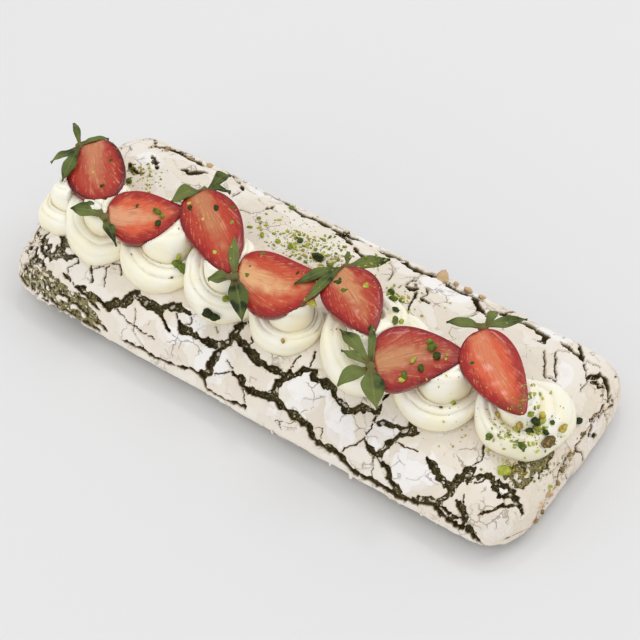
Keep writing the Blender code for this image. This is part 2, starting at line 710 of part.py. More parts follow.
def combine(bm, others, operation):
    """Joins shapes to a body, or cuts them from it, in one Boolean.

    Where the result isn't closed, it is tried again with the shapes a hair to the side.
    """
    for attempt in range(12):
        solver = ("EXACT", "MANIFOLD")[attempt % 2]
        merge = (2e-5, 4e-6)[attempt // 2 % 2]
        aside = 0.00005 * (attempt // 4)
        group = bpy.data.collections.new("operands")
        bpy.context.scene.collection.children.link(group)
        extra = []
        for k, other in enumerate(others):
            mesh = bpy.data.meshes.new(f"operand_{k}")
            other.to_mesh(mesh)
            mesh.transform(Matrix.Translation((aside, -aside, aside)))
            extra.append(bpy.data.objects.new(mesh.name, mesh))
            group.objects.link(extra[-1])
        body = object_from("body", bm)
        step = body.modifiers.new("combine", "BOOLEAN")
        step.operation = operation
        step.operand_type = "COLLECTION"
        step.collection = group
        step.solver = solver
        made = result_of(body, merge)
        for obj in extra:
            bpy.data.objects.remove(obj)
        bpy.data.collections.remove(group)
        if closed(made):
            return made
    return bm


def swollen(bm, by):
    """Moves every corner outwards."""
    bm.normal_update()
    moves = [(v, v.normal * by) for v in bm.verts]
    for v, move in moves:
        v.co += move
    return bm


def berry_room(berry):
    """The space that a strawberry needs in what it sits on: itself and all above it."""
    points = [v.co.copy() for v in berry.verts]
    bm = bmesh.new()
    for p in points:
        bm.verts.new(p)
        bm.verts.new(p + Vector((0, 0, BERRY_HEADROOM)))
    made = bmesh.ops.convex_hull(bm, input=bm.verts[:], use_existing_faces=False)
    spare = {g for g in made["geom_interior"] + made["geom_unused"]}
    bmesh.ops.delete(bm, geom=[g for g in spare if isinstance(g, bmesh.types.BMVert)], context="VERTS")
    bmesh.ops.triangulate(bm, faces=bm.faces[:])
    bmesh.ops.recalc_face_normals(bm, faces=bm.faces[:])
    return swollen(bm, BERRY_CLEAR)


# The upright prism round a swirl's foot: its sides, its spare room and its height
FOOT_SIDES = 24
FOOT_SWELL = 1.012
FOOT_SPARE = 0.0005
FOOT_TALL = 0.12
# Strawberries whose middles lie this far past a swirl's edge, in millimetres, can't touch it
NEAR_BERRIES = 30


def swirl_room(swirl, x, y):
    """An upright prism round a swirl's foot, which the swirl before it keeps out of."""
    foot = {}
    for v in swirl.verts:
        dx, dy = v.co.x - x, v.co.y - y
        slot = round(math.atan2(dy, dx) / (2 * math.pi) * FOOT_SIDES) % FOOT_SIDES
        foot[slot] = max(foot.get(slot, 0.0), math.hypot(dx, dy))
    bm = bmesh.new()
    rim = []
    for slot in sorted(foot):
        a = 2 * math.pi * slot / FOOT_SIDES
        r = foot[slot] * FOOT_SWELL + FOOT_SPARE
        rim.append(bm.verts.new((x + r * math.cos(a), y + r * math.sin(a), 0.0)))
    base = bm.faces.new(rim)
    made = bmesh.ops.extrude_face_region(bm, geom=[base])
    risen = [g for g in made["geom"] if isinstance(g, bmesh.types.BMVert)]
    bmesh.ops.translate(bm, vec=(0, 0, FOOT_TALL), verts=risen)
    bmesh.ops.recalc_face_normals(bm, faces=bm.faces[:])
    return bm


def chunk(place, size, rng):
    """One rough piece of nut or crumb."""
    bm = bmesh.new()
    bmesh.ops.create_icosphere(bm, subdivisions=1, radius=0.5 * size)
    stretch = [rng.uniform(*span) for span in NUT_STRETCH]
    for v in bm.verts:
        v.co *= rng.uniform(*NUT_ROUGH)
        v.co = Vector(c * f for c, f in zip(v.co, stretch))
    turn = Matrix.Rotation(rng.uniform(0, 2 * math.pi), 4, "Z")
    lean = Matrix.Rotation(rng.uniform(-0.5, 0.5), 4, "X")
    bmesh.ops.transform(bm, matrix=Matrix.Translation(place) @ turn @ lean, verts=bm.verts[:])
    return bm


def hit_from_above(tree, x, y):
    place, normal, _, _ = tree.ray_cast(Vector((x, y, 0.15)), Vector((0, 0, -1)))
    return place, normal


def scatter(solids, rows, rng):
    """Fuses each nut or crumb to the piece that it lies on, clear of every other piece."""
    trees = {name: BVHTree.FromBMesh(bm) for name, bm in solids.items()}
    fused = {}
    for x, y, size in rows:
        x, y, size = x * MM, y * MM, size * MM
        hits = [(hit_from_above(tree, x, y), name) for name, tree in trees.items()]
        hits = [(place.z, name, place, normal) for (place, normal), name in hits if place]
        if not hits:
            continue
        _, host, place, normal = max(hits, key=lambda hit: hit[0])
        place = place + normal * size * (0.5 - NUT_SUNK) * NUT_REACH
        clear = NUT_CLEAR + NUT_REACH * size
        others = [tree.find_nearest(place)[3] for name, tree in trees.items() if name != host]
        mates = [math.dist(place, q) - NUT_REACH * (size + other) for q, other in fused.get(host, [])]
        if min(others) < clear or (mates and min(mates) < 0):
            continue
        fused.setdefault(host, []).append((tuple(place), size))
    for host, places in fused.items():
        pieces = [chunk(Vector(place), size, rng) for place, size in places]
        solids[host] = combine(solids[host], pieces, "UNION")


def dust_rows(rng):
    x0, x1, y0, y1 = DUST_ZONE
    for _ in range(DUST_COUNT):
        yield rng.uniform(x0, x1), rng.uniform(y0, y1), rng.uniform(*DUST_SIZE)


def build():
    for obj in list(bpy.data.objects):
        bpy.data.objects.remove(obj)
    berries = {i: berry_shape(i, row) for i, row in enumerate(STRAWBERRIES)}
    rooms = {i: berry_room(berry) for i, berry in berries.items()}
    # The strawberries that lie across the row rest on the tips of those beside them
    for i in range(1, len(berries), 2):
        over = [rooms[k] for k in (i - 1, i + 1) if k in rooms]
        berries[i] = combine(berries[i], over, "DIFFERENCE")
    swirls = {i: swirl_shape(*row) for i, row in enumerate(SWIRLS)}
    feet = {i: swirl_room(swirls[i], SWIRLS[i][0] * MM, SWIRLS[i][1] * MM) for i in swirls}
    for i in range(len(swirls) - 1):
        swirls[i] = combine(swirls[i], [feet[i + 1]], "DIFFERENCE")
    for i in swirls:
        reach = SWIRLS[i][2] + NEAR_BERRIES
        near = [rooms[k] for k in rooms if abs(STRAWBERRIES[k][0] - SWIRLS[i][0]) < reach]
        for room in near:
            swirls[i] = combine(swirls[i], [room], "DIFFERENCE")
    solids = {"roll": roll_mesh()}
    solids.update({f"cream_swirl_{i + 1}": bm for i, bm in swirls.items()})
    solids.update({f"strawberry_{i + 1}": bm for i, bm in berries.items()})
    for bm in solids.values():
        bmesh.ops.triangulate(bm, faces=bm.faces[:])

    trees = {name: BVHTree.FromBMesh(bm) for name, bm in solids.items()}

    def ground(x, y):
        hits = [hit_from_above(tree, x, y)[0] for tree in trees.values()]
        return max((hit.z for hit in hits if hit), default=0.0)

    leaves = {}
    for i, sepals in enumerate(SEPALS):
        x, y, z, length, _, bearing = STRAWBERRIES[i][:6]
        a = math.radians(bearing)
        ahead, aside = CALYX_SHIFT[i]
        ahead -= 0.5 * length + CALYX_BEYOND
        hub_x = x + ahead * math.cos(a) - aside * math.sin(a)
        hub_y = y + ahead * math.sin(a) + aside * math.cos(a)
        shape = sepals_shape(i, hub_x * MM, hub_y * MM, (z - CALYX_BELOW) * MM, sepals, ground)
        leaves[f"strawberry_leaves_{i + 1}"] = shape
    # A leaf that still touches what is under it is lifted clear
    for name, shape in leaves.items():
        for _ in range(20):
            tree = BVHTree.FromBMesh(shape)
            if not any(tree.overlap(other) for other in trees.values()):
                break
            bmesh.ops.translate(shape, vec=(0, 0, GAP), verts=shape.verts[:])
    solids.update(leaves)

    rng = random.Random(SEED + 2)
    scatter(solids, NUTS + CRUMBS + tuple(dust_rows(rng)), rng)

    everything = [v.co for bm in solids.values() for v in bm.verts]
    mid_x = 0.5 * (min(p.x for p in everything) + max(p.x for p in everything))
    mid_y = 0.5 * (min(p.y for p in everything) + max(p.y for p in everything))
    finishes = {
        "roll": (material("meringue_crust", (0.80, 0.76, 0.70), 0.85), 35),
        "cream": (material("whipped_cream", (0.88, 0.84, 0.72), 0.55), 50),
        "strawberry": (material("strawberry", (0.60, 0.06, 0.04), 0.35), 40),
        "leaves": (material("strawberry_leaf", (0.12, 0.17, 0.06), 0.60), 60),
    }
    for name, bm in solids.items():
        bmesh.ops.translate(bm, vec=(-mid_x, -mid_y, 0), verts=bm.verts[:])
        kind = "leaves" if "leaves" in name else name.split("_")[0]
        mat, smooth = finishes[kind]
        add_object(name, mesh_from(bm, name), mat, smooth)


build()
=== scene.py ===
"""Looks of the pistachio roll cake: cracked meringue crust over green crumb, piped cream,
halved strawberries with their leaves, and chopped pistachios. Units are metres."""

import json
import math
import random

import bmesh
import bpy
import numpy as np
from mathutils import Matrix, Vector, noise
from mathutils.bvhtree import BVHTree

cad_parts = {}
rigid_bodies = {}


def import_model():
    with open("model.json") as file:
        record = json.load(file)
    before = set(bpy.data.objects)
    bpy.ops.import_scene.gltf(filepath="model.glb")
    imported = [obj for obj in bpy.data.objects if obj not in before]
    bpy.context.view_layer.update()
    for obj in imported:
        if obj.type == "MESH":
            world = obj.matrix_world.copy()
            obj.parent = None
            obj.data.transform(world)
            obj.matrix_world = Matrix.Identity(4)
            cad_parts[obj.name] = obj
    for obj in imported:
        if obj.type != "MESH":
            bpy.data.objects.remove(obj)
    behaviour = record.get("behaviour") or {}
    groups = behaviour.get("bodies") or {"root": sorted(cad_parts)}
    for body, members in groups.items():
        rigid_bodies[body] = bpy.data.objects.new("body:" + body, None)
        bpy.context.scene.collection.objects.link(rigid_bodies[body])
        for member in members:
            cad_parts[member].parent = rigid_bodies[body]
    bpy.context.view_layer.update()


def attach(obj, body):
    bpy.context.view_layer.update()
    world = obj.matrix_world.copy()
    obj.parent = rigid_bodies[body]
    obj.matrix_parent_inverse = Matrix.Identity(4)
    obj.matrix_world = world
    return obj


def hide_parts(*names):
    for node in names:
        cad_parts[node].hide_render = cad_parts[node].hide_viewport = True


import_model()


# The roll's body: moist green pistachio crumb, rolled up and baked until its skin cracked.
# It shows dark and granular in the cracks and where the crust has flaked off. A flat grid is
# laid round the roll's section, roughened into grains and closed underneath.
MM = 0.001
# Where the roll's middle lies, and its measures; BELLY is the height at which it is widest
ROLL_MIDDLE = (0.788 * MM, -0.279 * MM)
LENGTH, WIDTH, HEIGHT, BELLY = 0.285, 0.1120, 0.0440, 0.0120
# How square its section is, and by what share of its width the foot is drawn in
SECTION_POWER = 2.15
FOOT_TUCK = 0.125
# How long its rounded ends are, left and right, and how square their corners, front and back
END_REACH = np.array([0.0270, 0.0400])
CORNER_POWER = np.array([[5.0, 3.4], [4.4, 5.0]])
# By what share it grows wider and higher towards +X, and how far it is uneven by hand
WIDTH_TAPER, HEIGHT_TAPER = 0.044, -0.045
LUMP, LUMP_LENGTH = 0.0011, 0.055
# The base sheet that it lies on, and the groove above that
SHEET_THICK, SHEET_GROOVE = 0.0022, 0.0016
# In how many steps its round side and its foot are worked out
SECTION_STEPS, FOOT_STEPS = 60, 8
# The spacing of the crumb's points, how deep the crumb lies under the crust, how much deeper in
# a crevice, and how wide the crevice's wall is
CRUMB_PITCH = 0.86 * MM
CRUMB_DEEP = 1.0 * MM
CREVICE_DEEP, CREVICE_WALL = 1.3 * MM, 1.0 * MM
# How far bare crumb comes up again, as a share of that depth, and over what width
BARE_RISE, BARE_EDGE = 0.9, 1.5 * MM
# The sizes of its grains, and of the dust and the clods between them
GRAIN_SIZE, DUST_SIZE, CLOD_SIZE = 1.9 * MM, 1.1 * MM, 6 * MM
# How far cracks wander aside and over what length, broadly and then finely
WANDER, WANDER_LENGTH = 0.9 * MM, 5 * MM
JAG, JAG_LENGTH = 0.75 * MM, 1.9 * MM
# How far from a crack its distance is told, and how uneven its width is over what length
CRACK_REACH = 7 * MM
LIP_EVEN, LIP_UNEVEN, LIP_LENGTH = 0.85, 0.75, 3.2 * MM
# What share of its width a crack has left at its end, and how many widths it narrows over
END_SHARE, END_WIDTHS = 0.3, 1.6
# How near to another crack one is led on to it, and how near they touch already, in millimetres
JOIN_WITHIN, TOUCHING = 4.5, 0.2
# How much wider a crevice opens at the top of the crust than it shows
OPENING_SHARE = 1.35

# Where the crust has opened: width, then a line on the flat crust, in millimetres
CREVICES = (
    (3.5, (-104, -55), (-94, -55), (-86, -56), (-83, -55), (-77, -50), (-74, -46)),
    (3.5, (-73, -44), (-66, -45), (-61, -45), (-58, -45), (-56, -42), (-51, -40), (-43, -40)),
    (1.5, (-59, -46), (-56, -47), (-52, -50), (-48, -52)), (3.5, (-47, -46), (-43, -48),
     (-38, -48), (-31, -48), (-24, -47), (-21, -46), (-19, -41), (-19, -36), (-18, -32),
     (-17, -30)), (3, (-22, -47), (-23, -53), (-23, -60)),
    (3.2, (-17, -40), (-10, -41), (-4, -43), (5, -44), (12, -43), (16, -41)),
    (2.2, (16, -41), (20, -37), (26, -33)), (3, (12, -43), (12, -48), (11, -53)),
    (3.2, (-12, -54), (-7, -55), (-4, -57), (3, -57), (9, -55), (11, -53)), (3.4, (11, -53),
     (16, -56), (22, -57), (28, -57), (34, -59), (38, -63), (43, -64), (51, -63), (56, -67),
     (60, -69), (69, -68), (77, -68), (86, -68), (96, -65), (105, -60), (111, -54)),
    (1.8, (-73, -68), (-68, -67), (-61, -66), (-55, -67), (-46, -67), (-41, -66), (-32, -63),
     (-26, -63)), (2, (-25, -64), (-23, -69), (-16, -69), (-8, -68), (-1, -66), (0, -68)),
    (3, (26, -38), (32, -37), (36, -37), (39, -41), (44, -42), (48, -44), (52, -39), (58, -38)),
    (1.5, (59, -37), (59, -32), (60, -26)),
    (2.8, (61, -51), (65, -53), (70, -55), (75, -57), (79, -62), (84, -65)),
    (2, (60, -43), (65, -40)), (2, (69, -39), (74, -39), (78, -36)), (4, (77, -34), (79, -37)),
    (2, (78, -37), (75, -41), (73, -45), (70, -51), (69, -53)),
    (3.5, (91, -45), (97, -48), (104, -51), (111, -52)), (5, (109, -51), (112, -45), (114, -40)),
    (3, (134, -41), (140, -43), (145, -40), (151, -40), (159, -43), (159, -45)),
    (3.2, (95, -63), (99, -62), (105, -63), (113, -65), (124, -65), (129, -65)),
    (2.2, (134, -56), (139, -52), (144, -47), (151, -42)),
    (3, (63, 43), (69, 37), (74, 35), (77, 34)), (2.5, (98, 35), (103, 36)),
    (1.5, (96, 43), (102, 40)), (2, (126, 6), (126, 10), (130, 12), (131, 15)),
    (3, (140, 31), (145, 40), (154, 39), (157, 37)), (2, (159, 39), (159, 28), (156, 15)),
    (2, (161, 18), (162, 14), (169, 22)), (4, (-99, 31), (-93, 32), (-88, 38), (-84, 39)),
    (4, (-145, -42), (-133, -45)), (2.6, (-125, 18), (-114, 14), (-109, 15), (-109, 18)),
    (2.2, (-116, 32), (-109, 26), (-105, 21)), (2.6, (-13, 45), (-6, 40), (1, 36), (7, 33)),
    (1.6, (7, 33), (11, 34), (15, 35)), (2.4, (32, 27), (37, 28), (38, 30)),
    (1.6, (38, 30), (35, 33), (33, 41), (34, 45), (37, 52)), (1.6, (42, 26), (47, 25), (49, 25)),
    (3.2, (-130, -35), (-121, -40), (-121, -44)), (2.2, (-121, -40), (-114, -39), (-111, -39)),
    (2.8, (-125, -45), (-114, -45), (-109, -41)),
    (3.0, (-100, 60), (-84, 57), (-62, 63), (-40, 60), (-18, 66)),
    (2.8, (15, 60), (38, 66), (60, 61), (84, 65), (108, 60)),
    (3.0, (-150, 10), (-158, -8), (-152, -24)),
    (2.5, (-165, 30), (-150, 38), (-138, 50), (-122, 40)),
    (2.2, (-100, 60), (-107, 54), (-112, 46)), (2.4, (-84, 57), (-79, 50), (-70, 44), (-66, 38)),
    (2.6, (-62, 63), (-58, 54), (-49, 50), (-34, 44)), (2.2, (-18, 66), (-12, 58), (-13, 46)),
    (2.8, (38, 66), (43, 57), (37, 47)), (2.0, (84, 65), (79, 55), (78, 45)),
    (2.4, (108, 60), (120, 54), (131, 39)), (2.4, (-40, 60), (-44, 70), (-40, 78)),
    (2.6, (15, 60), (9, 69), (14, 77)), (2.2, (60, 61), (66, 71), (63, 78)),
    (3.6, (-144, -43), (-138, -48), (-129, -48), (-118, -46), (-119, -43), (-120, -39)),
    (3.2, (-138, -52), (-129, -55), (-124, -58)),
    (1.8, (-157, -61), (-150, -55), (-144, -52), (-138, -52)),
    (3.0, (-155, -50), (-147, -47), (-142, -54)), (1.5, (-171, -57), (-157, -61)),
    (3.5, (116, -55), (123, -57), (127, -61), (134, -65), (141, -68)),
    (2, (141, -68), (154, -71), (164, -66)), (1.5, (126, -62), (117, -62), (106, -61)),
    (2.5, (113, -46), (119, -42), (126, -39), (135, -39), (146, -38)),
    (2.4, (-146, -8), (-150, -20), (-143, -28), (-140, -36), (-144, -43)),
    (2.2, (-166, -30), (-158, -34), (-158, -40), (-150, -42), (-144, -43)),
    (2.4, (-140, -36), (-133, -33), (-127, -37)),
    (2.0, (-165, -52), (-157, -50), (-155, -44), (-158, -40)),
    (4.2, (-122, 40), (-112, 46), (-100, 47), (-92, 44)),
    (4.0, (-34, 44), (-24, 47), (-13, 45), (0, 47)), (4.6, (8, 45), (18, 47), (30, 45), (37, 47)),
    (3.4, (42, 46), (52, 45), (63, 47)), (3.8, (78, 44), (90, 45), (103, 42)),
    (2.6, (110, 44), (122, 42), (131, 39)),
)
# Strips of bare crumb where the crust has flaked off, in the same way
BARE_STRIPS = (
    (9, (-126, -60), (-110, -60), (-100, -61), (-90, -64), (-82, -67)),
    (7, (-99, -55), (-93, -56), (-87, -60)),
    (12, (132, -33), (140, -32), (145, -25), (149, -16), (152, -9)),
    (7, (140, -36), (146, -33), (150, -26)),
    (9, (-156, -59), (-134, -58), (-111, -60), (-99, -61), (-87, -64)), (7, (144, 32), (151, 36)),
    (6, (-127, -42), (-121, -44)), (5, (-112, -52), (-107, -54)),
    (9, (-169, -65), (-147, -65), (-134, -66)),
    (8, (-146, -62), (-135, -65), (-115, -67), (-106, -68), (-95, -70), (-86, -71)),
    (8, (-140, -71), (-120, -74), (-104, -76), (-90, -78)), (4, (-152, -54), (-146, -60)),
)


def meet(lines, others):
    """Leads the ends of cracks on to whatever crack they stop just short of. Each comes back
    with its width, its corners, and whether its first and last end run out."""
    made = []
    for width, *points in lines:
        corners, runs_out = [np.array(p, float) for p in points], []
        for end in (0, -1):
            here, nearest, spot = corners[end], JOIN_WITHIN, None
            for _, *other in others:
                for a, b in zip(np.array(other, float), np.array(other[1:], float)):
                    there = a + np.clip((here - a) @ (b - a) / ((b - a) @ (b - a)), 0, 1) * (b - a)
                    if other != points and np.hypot(*(there - here)) < nearest:
                        nearest, spot = np.hypot(*(there - here)), there
            runs_out.append(spot is None)
            if spot is not None and nearest > TOUCHING:
                corners.insert(len(corners) if end else 0, spot)
        made.append((width, np.array(corners) * MM, runs_out))
    return made


OPENINGS = meet([(OPENING_SHARE * width, *points) for width, *points in CREVICES], CREVICES)
BARE = meet(BARE_STRIPS, ())


def section_table():
    """The roll's section from the middle of the top down to the foot, by its own arc length."""
    turn = np.linspace(0, 0.5 * math.pi, SECTION_STEPS + 1)
    foot = np.linspace(0, 1, FOOT_STEPS + 1)[1:]
    reach = np.append(0.5 * WIDTH * np.sin(turn) ** (2 / SECTION_POWER),
                      0.5 * WIDTH * (1 - FOOT_TUCK * foot**2))
    crown = (HEIGHT - BELLY) * np.abs(np.cos(turn)) ** (2 / SECTION_POWER)
    rise = np.append(BELLY + crown, BELLY + (SHEET_THICK + SHEET_GROOVE - BELLY) * foot)
    run = np.append(0, np.cumsum(np.hypot(np.diff(reach), np.diff(rise))))
    return run, reach, rise, -np.gradient(rise, run), np.gradient(reach, run)


RUN, REACH, RISE, OUT_R, OUT_Z = section_table()
GIRTH = float(RUN[-1])


def rough(points, length, seed=0.0):
    """Smooth noise between -1 and 1 at each point, with lumps of the given length."""
    return np.array([noise.noise(Vector((p[0] / length, p[1] / length, seed))) for p in points])


def corner_terms(u, v):
    """Straight run, end scale and corner power of the part of the roll that each point is on."""
    right = (u > 0).astype(int)
    end = END_REACH[right]
    return 0.5 * LENGTH - end, end / (0.5 * WIDTH), CORNER_POWER[right, (v > 0).astype(int)]


def settle(x, y, z):
    """The roll is a little wider at +X, a little higher at -X, and uneven by hand."""
    along = x / (0.5 * LENGTH)
    sway = rough(np.column_stack([x, np.full_like(x, 8.1 * LUMP_LENGTH)]), LUMP_LENGTH)
    y = y * (1 + WIDTH_TAPER * along) + LUMP * sway
    lumps = rough(np.column_stack([x, y]), LUMP_LENGTH, 3.7)
    z = z * (1 + HEIGHT_TAPER * along) + LUMP * lumps * z / HEIGHT
    return np.column_stack([x + ROLL_MIDDLE[0], y + ROLL_MIDDLE[1], z])


def wrap(flat, h):
    """Lays points (u, v) of the flat crust on the roll, h above its surface.

    u runs along the roll and v round it from the middle of the top; past the straight
    run the crust turns down over the end in the same way as over the sides.
    """
    u, v = flat[:, 0], flat[:, 1]
    straight, scale, power = corner_terms(u, v)
    du, dv = np.maximum(np.abs(u) - straight, 0.0), np.abs(v)
    s = np.maximum((du**power + dv**power) ** (1 / power), 1e-9)
    reach, rise = np.interp(s, RUN, REACH), np.interp(s, RUN, RISE)
    out_r, out_z = np.interp(s, RUN, OUT_R), np.interp(s, RUN, OUT_Z)
    gx = np.sign(u) * (du / s) ** (power - 1) / scale
    gy = np.sign(v) * (dv / s) ** (power - 1)
    g = np.maximum(np.hypot(gx, gy), 1e-9)
    x = np.sign(u) * (np.minimum(np.abs(u), straight) + du / s * reach * scale)
    y = np.sign(v) * dv / s * reach
    return settle(x + h * out_r * gx / g, y + h * out_r * gy / g, rise + h * out_z)


def sway(flat):
    """Cracks don't run straight: how far each flat point is led aside, smoothly and then finely."""
    return np.column_stack([
        WANDER * rough(flat, WANDER_LENGTH, seed) + JAG * rough(flat, JAG_LENGTH, seed)
        for seed in (1.3, 7.9)])


def from_lines(flat, lines):
    """How far each flat point lies outside the nearest line's opening, the way straight out of
    it, and which line that is. Openings taper towards their ends."""
    gap, out = np.full(len(flat), CRACK_REACH), np.zeros((len(flat), 2))
    which = np.full(len(flat), -1)
    uneven = LIP_EVEN + LIP_UNEVEN * rough(flat, LIP_LENGTH, 4.4)
    for index, (width, corners, runs_out) in enumerate(lines):
        lengths = np.hypot(*np.diff(corners, axis=0).T)
        before = np.append(0, np.cumsum(lengths))
        for a, b, long, start in zip(corners, corners[1:], lengths, before):
            low, high = np.minimum(a, b) - CRACK_REACH, np.maximum(a, b) + CRACK_REACH
            near = np.nonzero(((flat > low) & (flat < high)).all(axis=1))[0]
            way = flat[near] - a
            t = np.clip(way @ (b - a) / long**2, 0, 1)
            way = way - t[:, None] * (b - a)
            off = np.hypot(*way.T)
            along = start + t * long
            # An end that runs into another crack counts as a metre off, so it keeps its width
            from_end = np.minimum(along + (not runs_out[0]), before[-1] - along + (not runs_out[1]))
            taper = np.clip(END_SHARE + from_end / (END_WIDTHS * max(width, 0.1) * MM), 0, 1)
            here = off - 0.5 * width * MM * taper * uneven[near]
            better = here < gap[near]
            spot = near[better]
            gap[spot], which[spot] = here[better], index
            out[spot] = way[better] / np.maximum(off[better], 1e-7)[:, None]
    return gap, out, which


def crumb_height(flat):
    """How far the crumb lies above the roll's smooth surface, and how bare it lies."""
    grains = np.array([noise.voronoi(Vector((*(p / GRAIN_SIZE), 0)))[0][0] for p in flat])
    moved = flat + sway(flat)
    bare = np.clip(0.4 - from_lines(moved, BARE)[0] / BARE_EDGE, 0, 1)
    deep = np.clip(-from_lines(moved, OPENINGS)[0] / CREVICE_WALL, 0, 1) * (1 - bare)
    low = -CRUMB_DEEP - CREVICE_DEEP * deep + BARE_RISE * CRUMB_DEEP * bare
    # Grains, dust and clods in millimetres, a little flatter where the crumb lies bare
    fine = (0.8 * (0.45 - grains) + 0.35 * rough(flat, DUST_SIZE, 2.0)
            + 0.5 * rough(flat, CLOD_SIZE, 5.0))
    return low + MM * fine * (0.9 - 0.35 * bare), bare


def square_to_crust(u, v):
    """Rounds the corners of a rectangle of points to the outline of the flat crust."""
    straight, _, power = corner_terms(u, v)
    du, dv = np.maximum(np.abs(u) - straight, 0.0), np.abs(v)
    whole = np.maximum((du**power + dv**power) ** (1 / power), 1e-9)
    share = np.where(whole > 1e-8, np.maximum(du, dv) / whole, 1.0)
    return np.column_stack(
        [np.sign(u) * (np.minimum(np.abs(u), straight) + du * share), v * share])


class Wire:
    """A socket in a material, so that its pattern can be written as plain sums."""

    def __init__(self, tree, socket=None):
        self.tree, self.socket = tree, socket

    def node(self, kind, settings, inputs, output=0):
        """Adds any node: its settings come first, then the values or links of its sockets."""
        made = self.tree.nodes.new(kind)
        for name, value in settings.items():
            if name == "stops":
                for place, _ in value[1:-1]:
                    made.color_ramp.elements.new(place)
                for element, (place, colour) in zip(made.color_ramp.elements, value):
                    element.position, element.color = place, colour
            else:
                setattr(made, name, value)
        for name, value in inputs.items():
            if isinstance(value, Wire):
                self.tree.links.new(value.socket, made.inputs[name])
            else:
                made.inputs[name].default_value = value
        return Wire(self.tree, made.outputs[output])

    def sum(self, operation, first, second):
        """One Math node."""
        return self.node("ShaderNodeMath", {"operation": operation}, {0: first, 1: second})

    def __add__(self, other):
        return self.sum("ADD", self, other)

    __radd__ = __add__

    def __sub__(self, other):
        return self.sum("SUBTRACT", self, other)

    def __rsub__(self, other):
        return self.sum("SUBTRACT", other, self)

    def __mul__(self, other):
        return self.sum("MULTIPLY", self, other)

    __rmul__ = __mul__

    def __truediv__(self, other):
        return self.sum("DIVIDE", self, other)

    def over(self, low, high):
        """0 below low, 1 above high, and smooth between; the other way round if low > high."""
        return self.node("ShaderNodeMapRange", {"interpolation_type": "SMOOTHSTEP"},
                         {"Value": self, "From Min": low, "From Max": high})

    def tint(self, first, second):
        """A colour between two, by this number."""
        return self.node("ShaderNodeMix", {"data_type": "RGBA"}, {0: self, 6: first, 7: second}, 2)

    def part(self, axis):
        """One coordinate of a place, X, Y or Z."""
        return self.node("ShaderNodeSeparateXYZ", {}, {"Vector": self}, axis)

    def into(self, shader, name):
        """Gives this to one of a shader's sockets."""
        self.tree.links.new(self.socket, shader.inputs[name])


class Finish:
    """One material: its shader, and the patterns that its surface is written with."""

    def __init__(self, name, **even):
        self.material = bpy.data.materials.new(name)
        self.material.use_nodes = True
        self.tree = self.material.node_tree
        self.shader = self.tree.nodes["Principled BSDF"]
        for socket, value in even.items():
            self.shader.inputs[socket.replace("_", " ")].default_value = value
        self.place = Wire(self.tree).node("ShaderNodeTexCoord", {}, {}, "Object")

    def spots(self, size, detail=2.0, uneven=0.5):
        """Cloudy noise between 0 and 1 with blobs of the given size in metres."""
        return self.place.node("ShaderNodeTexNoise", {}, {
            "Vector": self.place, "Scale": 1 / size, "Detail": detail, "Roughness": uneven})

    def cells(self, size):
        """Distance from the middles of cells of the given size, in shares of a cell."""
        return self.place.node("ShaderNodeTexVoronoi", {}, {
            "Vector": self.place, "Scale": 1 / size}, "Distance")

    def kept(self, name):
        """A number that was kept on the mesh's points."""
        return self.place.node("ShaderNodeAttribute", {"attribute_name": name}, {}, "Fac")

    def relief(self, height, distance):
        """Fine relief: height in shares of the distance in metres."""
        bump = self.place.node("ShaderNodeBump", {}, {
            "Strength": 1.0, "Distance": distance, "Height": height})
        bump.into(self.shader, "Normal")


def shade(red, green, blue):
    """A colour as the eye reads it, 0 to 255, turned into light."""
    values = [c / 255 for c in (red, green, blue)]
    light = [c / 12.92 if c < 0.04045 else ((c + 0.055) / 1.055) ** 2.4 for c in values]
    return (*light, 1.0)


def mesh_points(bm):
    """The places of a shape's points, as rows."""
    return np.array([v.co for v in bm.verts])


def move_points(bm, places):
    """Moves a shape's points to new places."""
    for v, place in zip(bm.verts, places):
        v.co = place


def keep(bm, name, values):
    """Keeps a number on every point, for the finish to read."""
    layer = bm.verts.layers.float.get(name) or bm.verts.layers.float.new(name)
    for v, value in zip(bm.verts, values):
        v[layer] = float(value)


def open_edges(bm):
    """The open edges of a shape."""
    return [e for e in bm.edges if e.is_boundary]


def drawn_on(bm):
    """Extrudes the open edges of a shape, and gives back the new points, to be moved."""
    made = bmesh.ops.extrude_edge_only(bm, edges=open_edges(bm))["geom"]
    return [v for v in made if isinstance(v, bmesh.types.BMVert)]


def close(bm):
    """Closes the open edges of a shape with one face."""
    bmesh.ops.contextual_create(bm, geom=open_edges(bm))


def outwards(bm):
    """Turns every face of a shape outwards."""
    bmesh.ops.recalc_face_normals(bm, faces=bm.faces[:])


def stand(name, bm, finish):
    """Puts a finished shape in the scene."""
    mesh = bpy.data.meshes.new(name)
    bm.to_mesh(mesh)
    bm.free()
    mesh.materials.append(finish.material)
    piece = bpy.data.objects.new(name, mesh)
    bpy.context.scene.collection.objects.link(piece)
    return piece


def put(name, bm, finish, slot, *replaced, smooth=60):
    """Puts a finished shape in the scene as one piece of the cake; edges sharper than
    `smooth` degrees show as edges."""
    piece = stand(name, bm, finish)
    piece.data.shade_smooth()
    if smooth < 180:
        piece.data.set_sharp_from_angle(angle=math.radians(smooth))
    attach(piece, "root")
    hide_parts(*replaced)


